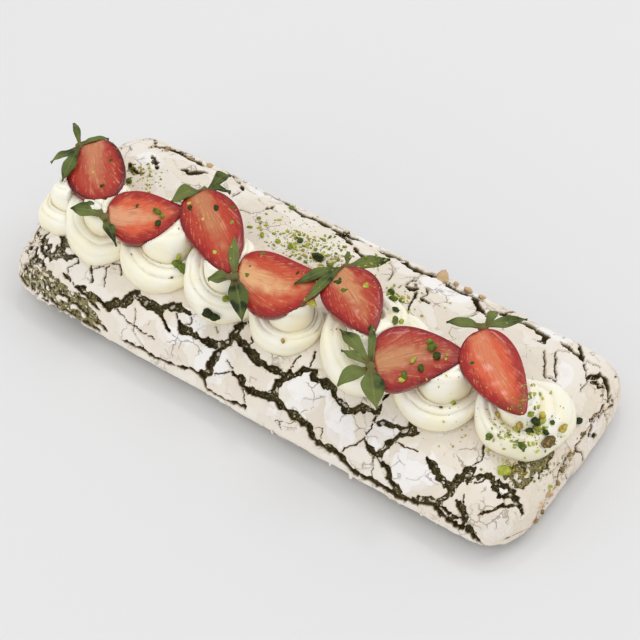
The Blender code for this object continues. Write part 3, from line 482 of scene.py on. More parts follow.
def crumb_finish():
    """Moist pistachio crumb: green in patches, with painted shade that makes it darker down in the
    cracks than where it lies bare and paler in open air.
    """
    made = Finish("green_crumb", Roughness=0.9)
    grain = made.spots(1.3 * MM, 4, 0.65)
    patch = made.spots(7 * MM, 2)
    speck = made.cells(1.0 * MM)
    colour = grain.over(0.36, 0.62).tint(shade(40, 34, 14), shade(104, 92, 52))
    pale = (grain.over(0.54, 0.70) * patch.over(0.45, 0.65)).tint(colour, shade(184, 172, 136))
    green = (speck.over(0.30, 0.18) * patch.over(0.62, 0.45)).tint(pale, shade(118, 122, 52))
    # Painted shade: the crumb in the cracks gets darker colours than the same crumb where it lies
    # bare in the open
    open_air = grain.over(0.34, 0.58).tint(shade(92, 84, 42), shade(160, 149, 104))
    lit = made.kept("open").over(0.4, 1.0).tint(green, open_air)
    # Paler where the crust has crumbled away at the left end
    crumbled = made.place.part("X").over(-108 * MM, -124 * MM) * grain.over(0.26, 0.50) * 0.75
    crumbled.tint(lit, shade(206, 199, 168)).into(made.shader, "Base Color")
    made.relief(grain + 0.6 * speck, 0.7 * MM)
    return made


def crumb_body():
    """The whole roll under its crust, down to the middle of the base sheet."""
    left, right = 0.5 * LENGTH - END_REACH + GIRTH
    bm = bmesh.new()
    bmesh.ops.create_grid(
        bm, x_segments=round((left + right) / CRUMB_PITCH),
        y_segments=round(2 * GIRTH / CRUMB_PITCH), size=1.0)
    square = mesh_points(bm)
    u = 0.5 * (right - left) + 0.5 * (right + left) * square[:, 0]
    flat = square_to_crust(u, GIRTH * square[:, 1])
    height, bare = crumb_height(flat)
    move_points(bm, wrap(flat, height))
    keep(bm, "open", bare)
    for v in drawn_on(bm):
        v.co.z = 0.5 * SHEET_THICK
    close(bm)
    outwards(bm)
    return bm


CRUMB = crumb_finish()
put("crumb_body", crumb_body(), CRUMB, "crust", "roll", smooth=180)


# The crust: the roulade's baked skin, a millimetre or two of dry white meringue that broke as
# it was rolled. Half of it at a time is a fine flat grid, with its points drawn onto the edges
# of the cracks and sunk inside them, and its plates a little uneven, laid on the roll.

# How high its plates stand, how deep its underside lies, and how far it stops above the foot
PLATE_HIGH = 0.0012
CRUST_FLOOR = 3.6 * MM
FOOT_CLEAR = 2.2 * MM
CRUST_PITCH = 0.55 * MM
SEED = 11
# Plates on the hidden sides: how far apart their middles lie, in what shares of that, how many
# places are tried for one, and how wide the cracks between them are, in millimetres
PLATE_PITCH, PLATE_SHARES = 0.0190, (0.72, 1.05)
PLATE_TRIES = 6000
HIDDEN_CRACK = 0.8
# From what share of its reach the crust is ragged, over what share, and how far it then stands out
RAGGED_FROM, RAGGED_OVER, RAGGED_REACH = 0.93, 0.07, 0.045
# How near to a crack a point is drawn onto it, as a share of the points' spacing
SNAP = 0.54
# How high and low whole plates lie, in millimetres, how much they lean, and how far that goes
PLATE_LEVELS = (-0.16, 0.22)
PLATE_LEAN, LEAN_MOST = 0.045, 0.45 * MM
# How far in from its edge a plate lies calm, how its edges curl up, over what lengths along the
# edge and away from it, and how far the edge itself is worn off
CALM_WIDE = 2.5 * MM
CURL, CURL_LONG, CURL_WIDE = 0.75 * MM, 12 * MM, 2.6 * MM
EDGE_WORN = 0.15 * MM
# How deep a fine crack is, as a share of its width
FINE_DEEP = 1.5

# Finer cracks that run between the crevices and into the plates
HAIRLINES = (
    (0.8, (-83, -55), (-78, -55), (-70, -57), (-64, -58), (-55, -58)),
    (0.5, (-67, -60), (-60, -64), (-59, -65)), (0.5, (-70, -49), (-67, -56)),
    (0.8, (-47, -46), (-50, -43), (-51, -40)), (0.6, (-43, -40), (-41, -44), (-44, -47)),
    (1, (-23, -60), (-16, -57), (-12, -54)), (0.7, (-17, -50), (-15, -51), (-11, -53)),
    (1.2, (-5, -57), (-2, -61), (0, -68)), (0.8, (-97, -50), (-99, -44), (-94, -40)),
    (0.8, (-87, -35), (-84, -39)), (1, (-108, -53), (-110, -49), (-107, -44)),
    (0.5, (-29, -40), (-27, -42)), (1.2, (-15, -30), (-12, -33), (-9, -37)),
    (1.2, (13, -40), (14, -32)), (1.2, (22, -35), (19, -27)), (0.6, (16, -65), (26, -60)),
    (0.6, (16, -65), (20, -68)), (0.6, (37, -57), (40, -56), (40, -60)),
    (1.2, (60, -39), (61, -43), (60, -50), (58, -55), (53, -59)),
    (0.8, (68, -56), (69, -61), (70, -66)), (1, (74, -45), (81, -45), (86, -44)),
    (1, (114, -39), (115, -37), (118, -34), (115, -30), (114, -28)),
    (1, (115, -41), (118, -45), (124, -43), (127, -39)), (1.2, (119, -51), (122, -56), (128, -61)),
    (1.2, (141, -70), (153, -71), (164, -66)), (0.6, (65, 26), (68, 33)),
    (0.8, (67, 46), (74, 45)), (0.8, (108, 31), (120, 17)), (0.8, (114, 34), (126, 19), (121, 18)),
    (0.8, (114, 37), (126, 41), (131, 39), (142, 44)), (1, (131, 39), (141, 31)),
    (0.6, (142, 31), (142, 24)), (0.6, (-67, 30), (-66, 36)),
    (0.6, (-58, 25), (-53, 25), (-50, 30)), (0.6, (-77, 46), (-71, 56)),
    (0.6, (-68, 43), (-60, 43)), (0.8, (-122, -38), (-121, -42)),
    (0.6, (-109, 39), (-108, 46), (-100, 48), (-97, 56)), (0.6, (-74, 49), (-69, 56)),
    (0.5, (-57, 39), (-49, 35), (-44, 36)), (1.4, (-49, 33), (-48, 36), (-48, 39)),
    (0.5, (17, 40), (23, 34), (25, 26)), (0.5, (21, 34), (23, 39)),
    (0.9, (32, 25), (33, 30), (33, 38)), (1.2, (39, 29), (41, 25), (42, 19), (43, 11)),
    (1, (44, 30), (41, 34)), (1.2, (37, 52), (42, 49), (46, 50)),
    (0.8, (-111, -39), (-112, -34), (-114, -30)),
    (1, (-98, -39), (-100, -40), (-99, -46), (-96, -49)),
    (0.8, (-89, -48), (-93, -40), (-91, -37), (-87, -35), (-85, -33), (-81, -28)),
    (0.8, (-81, -28), (-76, -33), (-71, -37)),
    (1.4, (149, 36), (164, 41), (159, 18), (160, 3), (161, -10), (167, -19)),
    (0.8, (160, 3), (176, 10), (176, 0)), (0.8, (161, -10), (176, -8), (176, -18)),
    (1, (167, -19), (167, -28), (170, -37), (174, -45)), (0.8, (161, 30), (174, 36)),
    (1.2, (174, -45), (167, -53), (160, -61)), (0.8, (39, 49), (45, 45), (50, 44)),
)
# Where the crust is dusted whitest: middle and size of each patch
SUGAR = (
    (25, -46, 11), (67, -46, 8), (88, -52, 12), (48, 45, 12), (26, 41, 7), (-115, 24, 8),
    (-22, -57, 9), (15, -51, 9), (126, 23, 8), (-43, -46, 9), (48, -53, 8), (-62, 52, 10),
    (2, 56, 10), (106, 52, 10), (-12, 69, 9), (72, 70, 9), (-160, 12, 10), (150, -58, 9),
    (165, 20, 8),
)
# Where nothing shows: beyond these on the flat crust, cracks are drawn at random
HIDDEN_BACK, HIDDEN_LEFT = 50 * MM, -134 * MM


def round_the_end(flat):
    """How far each flat point lies from the middle line, round its corner."""
    straight, _, power = corner_terms(flat[:, 0], flat[:, 1])
    du = np.maximum(np.abs(flat[:, 0]) - straight, 0)
    return (du**power + np.abs(flat[:, 1]) ** power) ** (1 / power)


def random_cracks(flat):
    """How far each point on the hidden sides lies from the nearest of their cracks, and the way
    out: each plate is the ground nearest to one of many scattered middles."""
    rng = np.random.default_rng(SEED)
    far = 0.5 * LENGTH + GIRTH
    tried = rng.uniform((-far, -GIRTH), (far, GIRTH), (PLATE_TRIES, 2))
    middles = tried[:1]
    for p, spacing in zip(tried[1:], rng.uniform(*PLATE_SHARES, PLATE_TRIES - 1)):
        if np.hypot(*(middles - p).T).min() > PLATE_PITCH * spacing:
            middles = np.vstack([middles, p])
    away = np.hypot(flat[:, 0, None] - middles[:, 0], flat[:, 1, None] - middles[:, 1])
    first, second = np.argsort(away, axis=1)[:, :2].T
    step = middles[first] - middles[second]
    span = np.maximum(np.hypot(*step.T), 1e-6)
    row = np.arange(len(flat))
    return (away[row, second] ** 2 - away[row, first] ** 2) / (2 * span), step / span[:, None]


FINE = [(0, corners, ends) for _, corners, ends in meet(HAIRLINES, CREVICES + HAIRLINES)]


def crust_cracks(flat, snap):
    """For each flat point: how far it lies outside a crevice, how far from a fine crack and how
    wide that is, and where it goes when it is drawn onto the nearer of them."""
    moved = flat + sway(flat)
    gap, out, _ = from_lines(moved, OPENINGS + BARE)
    fine, aside, which = from_lines(moved, FINE)
    width = np.array([w for w, *_ in HAIRLINES])[which]
    hidden = (flat[:, 1] > HIDDEN_BACK) | (flat[:, 0] < HIDDEN_LEFT)
    if hidden.any():
        more, way = random_cracks(moved[hidden])
        nearer = more < fine[hidden]
        spots = np.nonzero(hidden)[0][nearer]
        fine[spots], aside[spots], width[spots] = more[nearer], way[nearer], HIDDEN_CRACK
    width = width * (1 + 0.5 * rough(flat, 4 * MM, 6.0))
    on_edge = np.abs(gap) < snap
    on_fine = (fine < snap) & (gap > snap)
    drawn = flat - out * (gap * on_edge)[:, None] - aside * (fine * on_fine)[:, None]
    return gap, fine, width * on_fine, on_edge, drawn


def plates_apart(columns, split):
    """Numbers the plates: the patches of grid points that no crack runs between."""
    plate = np.full(len(split), -1)
    count = 0
    for start in range(len(split)):
        if split[start] or plate[start] >= 0:
            continue
        plate[start], waiting = count, [start]
        while waiting:
            k = waiting.pop()
            sides = (k - columns, k + columns, k - 1 if k % columns else -1,
                     k + 1 if (k + 1) % columns else -1)
            for n in sides:
                if 0 <= n < len(split) and plate[n] < 0 and not split[n]:
                    plate[n] = count
                    waiting.append(n)
        count += 1
    return plate, count


def dusted(flat):
    """How white each flat point is dusted, 0 to 1."""
    away = [np.hypot(*(flat.T / MM - [[u], [v]])) / size for u, v, size in SUGAR]
    return np.max([np.exp(-share**4) for share in away], axis=0)


def half_crust(side, rows, spacing):
    """The crust on one long side of the roll's middle line, -1 the front and 1 the back, with
    how far down, how near to an edge, how dark and how white each point is for its finish."""
    left, right = 0.5 * LENGTH - END_REACH + GIRTH - FOOT_CLEAR
    columns = round((left + right) / CRUST_PITCH)
    bm = bmesh.new()
    bmesh.ops.create_grid(bm, x_segments=columns, y_segments=rows, size=1.0)
    square = mesh_points(bm)
    u = 0.5 * (right - left) + 0.5 * (right + left) * square[:, 0]
    v = np.interp(0.5 + 0.5 * side * square[:, 1], *spacing) * (GIRTH - FOOT_CLEAR)
    flat = square_to_crust(u, side * v)
    ragged = (round_the_end(flat) / (GIRTH - FOOT_CLEAR) - RAGGED_FROM) / RAGGED_OVER
    ragged = np.clip(ragged, 0, 1)
    worn = 0.6 * rough(flat, 7 * MM, 3.0) + 0.4 * rough(flat, 2.4 * MM, 3.5)
    flat = flat * (1 + RAGGED_REACH * (ragged * (worn - 0.2))[:, None])
    net = flat.reshape(rows + 1, columns + 1, 2)
    pitch = np.max(
        [np.hypot(*np.gradient(net, axis=k).transpose(2, 0, 1)) for k in (0, 1)], axis=0)
    gap, fine, width, on_edge, drawn = crust_cracks(flat, SNAP * pitch.ravel())
    inside = (gap < 0) & ~on_edge
    plate, count = plates_apart(columns + 1, inside | (width > 0))
    rng = np.random.default_rng(SEED)
    tone = rng.random(count + 1)[plate]
    nudge = rng.uniform(*PLATE_LEVELS, count + 1)[plate] * MM
    # Each plate leans about its own middle
    share = np.maximum(np.bincount(plate + 1, minlength=count + 1), 1)
    middle = np.column_stack(
        [np.bincount(plate + 1, flat[:, k], count + 1) / share for k in (0, 1)])[plate + 1]
    lean = rng.normal(0, PLATE_LEAN, (count + 1, 2))[plate + 1]
    leant = np.clip(((flat - middle) * lean).sum(axis=1), -LEAN_MOST, LEAN_MOST)
    nudge = nudge + leant * (plate >= 0)
    calm = np.clip(np.minimum(gap, fine) / CALM_WIDE, 0, 1)
    swell = (0.40 * rough(flat, 10 * MM, 9.0) + 0.12 * rough(flat, 3 * MM, 4.0)) * MM
    curl = CURL * np.clip(rough(flat, CURL_LONG, 7.0) + 0.4, 0, 1)
    curl = curl * np.exp(-np.maximum(gap, 0) / CURL_WIDE)
    top = 0.85 * PLATE_HIGH + swell + nudge * (1 - 0.3 * calm) + curl - EDGE_WORN * on_edge
    down = np.where(inside, top + CRUST_FLOOR, np.maximum(width, 0) * FINE_DEEP * MM)
    # How far down in a crack each point lies, which the finish turns into painted shade
    keep(bm, "down", down / MM)
    keep(bm, "edge", np.minimum(np.maximum(gap, 0), 1.5 * MM + np.maximum(fine, 0)) / MM)
    keep(bm, "tone", tone)
    keep(bm, "sugar", dusted(flat))
    move_points(bm, wrap(drawn, top - down))
    # Faces are split along the cracks, so that each runs as one clean line
    places = mesh_points(bm)
    for line in (width > 0, on_edge):
        bmesh.ops.connect_verts(bm, verts=[v for v, there in zip(bm.verts, line) if there])
    assert np.allclose(places, mesh_points(bm))
    floor_places = wrap(drawn, np.full(len(drawn), -CRUST_FLOOR))
    under = {tuple(v.co): place for v, place in zip(bm.verts, floor_places)}
    for v in drawn_on(bm):
        v.co = under[tuple(v.co)]
    close(bm)
    outwards(bm)
    return bm


def crust_finish():
    """Dry white meringue: chalky and a little warm, with painted shade, brown and crumby, down in
    its cracks, and painted light that makes it paler towards the foot.
    """
    made = Finish("meringue_crust", Roughness=0.88, Specular_IOR_Level=0.25)
    tone, edge, down = made.kept("tone"), made.kept("edge"), made.kept("down")
    cloud, fine = made.spots(14 * MM, 3, 0.55), made.spots(1.3 * MM, 3, 0.6)
    along, height = made.place.part("X"), made.place.part("Z")
    # Places that are shifted by noise give cells with ragged edges
    shift = made.place.node("ShaderNodeTexNoise", {}, {
        "Vector": made.place, "Scale": 1 / (4 * MM), "Detail": 3.0}, "Color")
    shifted = made.place.node("ShaderNodeVectorMath", {"operation": "MULTIPLY_ADD"}, {
        0: shift, 1: (5 * MM, 5 * MM, 5 * MM), 2: made.place})
    # Patches of the plates, each with a number of its own, and hairlines between smaller ones
    patch = made.place.node("ShaderNodeTexVoronoi", {}, {
        "Vector": shifted, "Scale": 1 / (11 * MM)}, "Color") * 1.0
    split = made.place.node("ShaderNodeTexVoronoi", {"feature": "DISTANCE_TO_EDGE"}, {
        "Vector": shifted, "Scale": 1 / (8 * MM)}, "Distance")
    lines = split.over(0.035, 0.008) * cloud.over(0.50, 0.64)
    plain = tone.over(0.0, 1.0).tint(shade(235, 226, 211), shade(248, 243, 235))
    chalky = (patch.over(0.52, 0.60) * 0.3).tint(plain, shade(248, 246, 244))
    dusting = (0.5 * patch + 0.6 * made.kept("sugar")).over(0.44, 0.56)
    sugared = (dusting * 0.85).tint(chalky, shade(247, 245, 243))
    grey = (patch.over(0.40, 0.33) * 0.35).tint(sugared, shade(224, 213, 198))
    thin = (lines * 0.6).tint(grey, shade(158, 140, 112))
    warm = (cloud.over(0.46, 0.30) * 0.4).tint(thin, shade(232, 218, 199))
    # Painted light: paler towards the foot, to lighten the roll's low sides that lie in shade
    foot = (height.over(30 * MM, 8 * MM) * 0.5).tint(warm, shade(250, 243, 232))
    baked = along.over(124 * MM, 140 * MM) * fine.over(0.30, 0.70)
    end = (baked * 0.45).tint(foot, shade(228, 206, 176))
    # Browner in flecks within about a millimetre of a crack's edge
    edge_tan = (edge.over(0.8, 0.0) * fine.over(0.40, 0.62) * 0.5).tint(end, shade(190, 166, 128))
    # Painted shade: darker and browner the further down a crack's wall and inside a fine crack
    depth = down + (fine - 0.5) * 0.5
    wall = depth.over(0.25, 0.85).tint(edge_tan, shade(136, 118, 84))
    dark = depth.over(0.60, 1.7).tint(wall, shade(74, 62, 34))
    dark.into(made.shader, "Base Color")
    made.relief(0.35 * fine + 0.8 * cloud - 0.8 * lines + 0.3 * patch.over(0.40, 0.52), 0.55 * MM)
    return made


CRUST = crust_finish()
# How many rows of points each half has, and where they lie from the roll's middle to its foot:
# closer where the front of the crust shows
FRONT_ROWS, BACK_ROWS = 120, 90
FRONT_SPACING, BACK_SPACING = ((0, 0.30, 1), (0, 0.40, 1)), ((0, 1), (0, 1))
put("crust_front", half_crust(-1, FRONT_ROWS, FRONT_SPACING), CRUST, "crust", "roll", smooth=40)
put("crust_back", half_crust(1, BACK_ROWS, BACK_SPACING), CRUST, "crust", "roll", smooth=40)


# Crumbs and chips: grains of the pistachio crumb and small chips of the crust lie in the
# crevices and on the bare strips, and toasted crumbs along the back edge and the right end.
# A rough pebble in a few shapes is copied to every place and joined into one piece of each kind.

# Toasted crumbs that show singly: place from the roll's middle and size, in millimetres, and
# how far up their middles lie, as a share of that
CRUMB_PROUD = 0.28
CRUMBS = ((42, 48.0, 8.0), (49, 48, 3.6), (56, 47.5, 4.2), (63, 48.5, 3.2), (-91, 44, 3.4))
# Lines on the flat crust where toasted crumbs lie, and how many
TOASTED = (
    (44, (-24, 52), (-5, 49), (12, 47), (30, 50), (45, 50), (62, 49), (84, 47)), (110, (149, 36),
     (164, 40), (160, 18), (160, 3), (161, -10), (167, -19), (167, -28), (170, -37), (172, -46)),
    (24, (-122, 36), (-108, 46), (-90, 48)),
)
# Lines along which flakes of the crust stand loose: the foot, the left end and the back edge
LOOSE = (
    (90, (-150, -72), (-100, -75), (-40, -74), (20, -74), (80, -73), (120, -69)),
    (60, (-168, -62), (-171, -44), (-168, -24), (-166, -6)),
    (40, (-154, -50), (-146, -40), (-150, -24)), (40, (158, 34), (161, 5), (166, -20), (168, -40)),
    (50, (-118, 47), (-70, 50), (-20, 49), (40, 50), (100, 48)),
)
# How many shapes there are for small pebbles, and as many for those that are larger than this
PEBBLE_SHAPES, LARGE_PEBBLE = 7, 1.9 * MM
# How far crumbs and flakes lie to the sides of their lines, and grains to the sides of an
# opening, as a share of its width
CRUMB_ASIDE, FLAKE_ASIDE, GRAIN_ASIDE = 1.8 * MM, 1.4 * MM, 0.26
# A height that is clear of the whole cake, to feel down from
ABOVE_ALL = 0.15


def pebbles(name, rows, finish, slot, *replaced, flat=0.72, seed=1):
    """One piece of many small rough pebbles: place, size, way up, tone and stretch of each."""
    rng = random.Random(seed)
    shapes = []
    for k in range(2 * PEBBLE_SHAPES):
        bm = bmesh.new()
        bmesh.ops.create_icosphere(bm, subdivisions=1 + k // PEBBLE_SHAPES, radius=0.5)
        for v in bm.verts:
            v.co *= rng.uniform(0.80, 1.15)
            v.co = Vector((v.co.x * 1.15, v.co.y * 0.85, v.co.z * flat))
        mesh = bpy.data.meshes.new("pebble")
        bm.to_mesh(mesh)
        bm.free()
        corners = np.array([v.co for v in mesh.vertices])
        faces = np.array([p.vertices for p in mesh.polygons])
        bpy.data.meshes.remove(mesh)
        shapes.append((corners, faces))
    points, faces, tones, first = [], [], [], 0
    for place, size, up, tone, stretch in rows:
        chosen = rng.randrange(PEBBLE_SHAPES) + PEBBLE_SHAPES * (size > LARGE_PEBBLE)
        corners, sides = shapes[chosen]
        turn = Vector(up).to_track_quat("Z", "Y").to_matrix()
        turn = turn @ Matrix.Rotation(rng.uniform(0, 6.28), 3, "Z")
        points.append(corners * size * (stretch, 1 / stretch, 1) @ np.array(turn).T + place)
        faces.append(sides + first)
        tones.append(np.full(len(corners), tone))
        first += len(corners)
    mesh = bpy.data.meshes.new(name)
    mesh.from_pydata(np.concatenate(points).tolist(), [], np.concatenate(faces).tolist())
    mesh.attributes.new("tone", "FLOAT", "POINT").data.foreach_set("value", np.concatenate(tones))
    bm = bmesh.new()
    bm.from_mesh(mesh)
    bpy.data.meshes.remove(mesh)
    put(name, bm, finish, slot, *replaced, smooth=40)


def along_line(rng, corners, aside):
    """A random place on a line and a little to its side."""
    lengths = np.hypot(*np.diff(corners, axis=0).T)
    k = rng.choices(range(len(lengths)), lengths)[0]
    place = corners[k] + rng.random() * (corners[k + 1] - corners[k])
    return place + [rng.gauss(0, aside), rng.gauss(0, aside)]


def strewn(rng, count, corners, aside, small, more, power, longest):
    """Random places by a line, each with a size, a tone and a stretch; sizes in millimetres,
    and the higher the power, the more of them are small."""
    for _ in range(count):
        place = along_line(rng, corners, aside)
        size = (small + more * rng.random() ** power) * MM
        yield place, (size, rng.random(), rng.uniform(0.9, longest))


def lying(flat, lift, rows, tilt=0.0):
    """Finishes rows of size, tone and stretch with where they lie on the roll and which way up."""
    flat = np.array(flat)
    lift = lift + np.zeros(len(flat))
    low, high = wrap(flat, lift), wrap(flat, lift + MM)
    up = (high - low) / MM + tilt * np.random.default_rng(SEED).normal(size=low.shape)
    up = up / np.linalg.norm(up, axis=1)[:, None]
    return [(place, size, way, tone, stretch)
            for place, way, (size, tone, stretch) in zip(low, up, rows)]


def in_the_cracks(per_area, small, large):
    """Grains on the crumb that shows: more where an opening is long and wide."""
    rng = random.Random(SEED + 7)
    made = []
    for width, corners, _ in OPENINGS + BARE:
        long = np.hypot(*np.diff(corners, axis=0).T).sum() / MM
        made += strewn(rng, round(per_area * width * long), corners, GRAIN_ASIDE * width * MM,
                       small, large - small, 2, 1.4)
    flat, rows = zip(*made)
    return lying(flat, crumb_height(np.array(flat))[0] + 0.1 * MM, rows)


def loose_flakes():
    """Flakes of the crust that stand up a little, each tilted its own way."""
    rng = random.Random(SEED + 9)
    made = []
    for count, *points in LOOSE:
        made += strewn(rng, count, np.array(points) * MM, FLAKE_ASIDE, 0.9, 3.0, 2, 1.5)
    flat, rows = zip(*made)
    return lying(flat, 0.8 * MM, rows, 0.45)


def toasted_crumbs():
    """Crumbs along the back edge and the right end, and the large ones one by one."""
    rng = random.Random(SEED + 8)
    made = []
    for count, *points in TOASTED:
        made += strewn(rng, count, np.array(points) * MM, CRUMB_ASIDE, 0.5, 2.2, 3, 1.3)
    flat, rows = zip(*made)
    crumbs = lying(flat, PLATE_HIGH, rows)
    tree = tops_of("crust_back")
    for x, y, size in CRUMBS:
        place, up = feel(tree, x * MM + ROLL_MIDDLE[0], y * MM + ROLL_MIDDLE[1])
        crumbs.append((place + up * CRUMB_PROUD * size * MM, size * MM, up, 0.7, 1.1))
    return crumbs


def grain_finish(name, stops):
    """Rough crumbs, each with its own tone between dark and pale."""
    made = Finish(name, Roughness=0.9)
    cloud = made.spots(0.9 * MM, 3)
    tone = made.kept("tone") + (cloud - 0.5) * 0.6
    colour = tone.node("ShaderNodeValToRGB", {"stops": stops}, {"Fac": tone}, "Color")
    colour.into(made.shader, "Base Color")
    made.relief(cloud, 0.3 * MM)
    return made


def tops_of(*names):
    """What lies under a scattered piece, to be felt for from above."""
    whole = bmesh.new()
    for name in names:
        whole.from_mesh(bpy.data.objects[name].data)
    tree = BVHTree.FromBMesh(whole)
    whole.free()
    return tree


def feel(tree, x, y):
    """The highest point under (x, y) and the way it faces."""
    place, normal, _, _ = tree.ray_cast(Vector((x, y, ABOVE_ALL)), Vector((0, 0, -1)))
    return place, normal


GRAIN = grain_finish("crumb_grains", (
    (0.0, shade(42, 34, 14)), (0.4, shade(96, 86, 42)), (0.75, shade(154, 140, 96)),
    (1.0, shade(206, 194, 160))))
TOAST = grain_finish("toasted_crumbs", (
    (0.0, shade(104, 92, 56)), (0.4, shade(176, 148, 104)), (0.8, shade(216, 184, 142)),
    (1.0, shade(232, 214, 184))))
pebbles("crumb_grains", in_the_cracks(0.30, 0.5, 1.6), GRAIN, "crust", "roll", seed=3)
pebbles("crust_chips", in_the_cracks(0.035, 0.9, 3.0), CRUST, "crust", "roll", flat=0.35, seed=4)
pebbles("loose_flakes", loose_flakes(), CRUST, "crust", "roll", flat=0.28, seed=6)
pebbles("toasted_crumbs", toasted_crumbs(), TOAST, "crust", "roll", seed=5)


# The base sheet: the thin pale layer that the roll was turned out on, its edge ragged under
# the foot of the roll. One outline is drawn out from a circle and given its thickness.

# How far it reaches, as a share of the roll's half width, and how ragged its edge is over what
# length; then a distance beyond its edge, and how often that is halved to find the edge
SHEET_REACH, SHEET_RAGGED, SHEET_TEETH = 0.858, 0.0008, 0.005
SHEET_POINTS = 420
SHEET_BEYOND, HALVINGS = 0.2, 30


def base_sheet():
    """The thin sheet, its outline kept to the roll's and worn ragged."""
    bm = bmesh.new()
    bmesh.ops.create_circle(bm, cap_ends=True, segments=SHEET_POINTS, radius=1.0)
    across = 0.5 * WIDTH * SHEET_REACH
    for v in bm.verts:
        a = math.atan2(v.co.y, v.co.x)
        along = 0.5 * LENGTH * math.cos(a)
        end = float(END_REACH[int(along > 0)])
        power = float(CORNER_POWER[int(along > 0), int(a > 0)])
        # The rounded corner's outline in this direction, stretched by the straight run
        cx, cy = math.cos(a), math.sin(a)
        lo, hi = 0.0, SHEET_BEYOND
        for _ in range(HALVINGS):
            r = 0.5 * (lo + hi)
            du = max(abs(r * cx) - (0.5 * LENGTH - end), 0) / (end * SHEET_REACH)
            dv = abs(r * cy) / across
            lo, hi = (r, hi) if du**power + dv**power < 1 else (lo, r)
        teeth = noise.noise(Vector((cx * r / SHEET_TEETH, cy * r / SHEET_TEETH, 5)))
        r += SHEET_RAGGED * (0.6 + 1.4 * teeth)
        v.co = Vector((r * cx, r * cy, 0.0))
    places = mesh_points(bm)
    move_points(bm, settle(places[:, 0], places[:, 1], places[:, 2]))
    bm.normal_update()
    bmesh.ops.solidify(bm, geom=bm.faces[:], thickness=SHEET_THICK)
    low = min(v.co.z for v in bm.verts)
    bmesh.ops.translate(bm, vec=(0, 0, -low), verts=bm.verts[:])
    outwards(bm)
    return bm


def sheet_finish():
    """Pale baked sheet, yellower in clouds, with specks of crumb."""
    made = Finish("base_sheet", Roughness=0.85)
    cloud = made.spots(6 * MM, 3)
    pale = cloud.over(0.4, 0.6).tint(shade(228, 217, 196), shade(206, 190, 158))
    specks = made.spots(2.2 * MM, 2).over(0.60, 0.70) * 0.6
    specks.tint(pale, shade(140, 132, 84)).into(made.shader, "Base Color")
    made.relief(made.spots(1.2 * MM, 3), 0.4 * MM)
    return made


put("base_sheet", base_sheet(), sheet_finish(), "crust", "roll")


# The piped cream: sweet whipped cream, squeezed from a bag in eight climbing spirals, each laid
# partly over the one before it. A grid is wound into a rope that climbs to a peak; its turns
# are welded along their creases, it is closed underneath and pressed down by the strawberries.

# Middle, radius and height of each in millimetres and the bearing of its tail in degrees; then
# by what share one side of its foot bulges out, and the bearing of that
SWIRLS = (
    (-128, -20, 20.5, 15, 100, 0.0, 0), (-105.5, -21, 24.5, 17, 110, 0.0, 0),
    (-72.5, -17.5, 27.0, 18, 80, 0.0, 0), (-37, -18, 25.5, 18, 100, 0.0, 0),
    (-1.5, -20, 21.0, 18, 60, 0.0, 0), (40.5, -12.5, 30.5, 18, 110, 0.0, 0),
    (78, -15.5, 24.5, 18, 70, 0.0, 0), (114.5, -11.5, 23.5, 16, 150, 0.7, 50),
)
# How many turns the rope makes, and the steps of its grid
CREAM_TURNS = 2.3
TURN_STEPS, ROPE_STEPS = 72, 30
# How high the outer crease lies, how far out on the roll the cream may reach, and what shares of
# its radius it has room for there, from the whole down to the least
CREAM_RIM, CREAM_LIMIT = 0.0012, 0.95
ROOM_SHARES, ROOM_LEAST = 1 - 0.02 * np.arange(31), 0.4
# How wide the bulge at its foot is, in radians
LOBE_WIDE = 0.45
# How high the cream lies over the crust, over what step the crust's slope is taken, and how
# steep that counts at most
CREAM_SEAT, SEAT_STEP, STEEPEST = PLATE_HIGH + 0.7 * MM, 1.5 * MM, 2.0
# How full the rope is, what share of it narrows to its tail, and how it spreads, climbs and ends
ROPE_CROWN, TAIL_SHARE = 0.34, 0.13
SPREAD_POWER, CLIMB_POWER, TAIL_POWER = 0.72, 0.9, 0.7
# Its folds: how deep, from what width of rope on, and how far they stand out sideways
FOLD_DEEP, FULL_ROPE, FOLD_ASIDE = 1.5 * MM, 4 * MM, 0.9
# How uneven the whole swirl is over what length, and how near to each other points are welded
CREAM_UNEVEN, CREAM_UNEVEN_LENGTH = 1.0 * MM, 13 * MM
WELD = 0.02 * MM
# To what share of its width the underside is drawn in, step by step, and how far it sinks
TUCKS, TUCK_DEEP = (0.97, 0.5), 0.4 * MM
# Cream this far inside the next swirl is flattened to this height over its seat
INSIDE_NEXT, FLATTENED = 1.5 * MM, 0.3 * MM
# Under a strawberry: how far below it the cream is pressed, how steep and how wide the dent's
# edge is, and how far below its seat the cream may be pushed
BERRY_GAP, DENT_SLOPE, DENT_WIDE, PUSHED_MOST = 0.6 * MM, 1.3, 12 * MM, 0.5 * MM

# The halved strawberries: middle of the cut face, its height, length, width, bearing of the
# tip, how far the tip and the near side are tipped down, in millimetres and degrees; then how
# far along the widest place lies, how blunt the ends are, and how far the middle line bows
STRAWBERRIES = (
    (-116.5, -8, 65.0, 36.5, 28.5, -45, 3, 10, 0.98, 0.43, -2.2),
    (-83, -16.5, 63.5, 37.5, 28.5, 38, -2, 12, 0.63, 0.83, -1.9),
    (-49, -11, 66.5, 49.5, 27.5, -36, 4, 8, 0.70, 0.61, 2.0),
    (-8, -13.5, 65.0, 42.5, 33.0, 20, -2, 10, 0.70, 0.65, -6.1),
    (28.5, -10, 67.0, 40.0, 27.5, -31, 3, 9, 0.70, 0.76, 1.3),
    (70.5, -20, 65.0, 42.0, 31.5, 41, -1, 11, 0.53, 0.66, 2.6),
    (104.5, -7.5, 66.5, 47.0, 26.5, -32, 6, 9, 0.66, 0.66, -1.4),
)
# How deep they are under the cut face, as a share of their half width
BERRY_DEPTH = 0.86


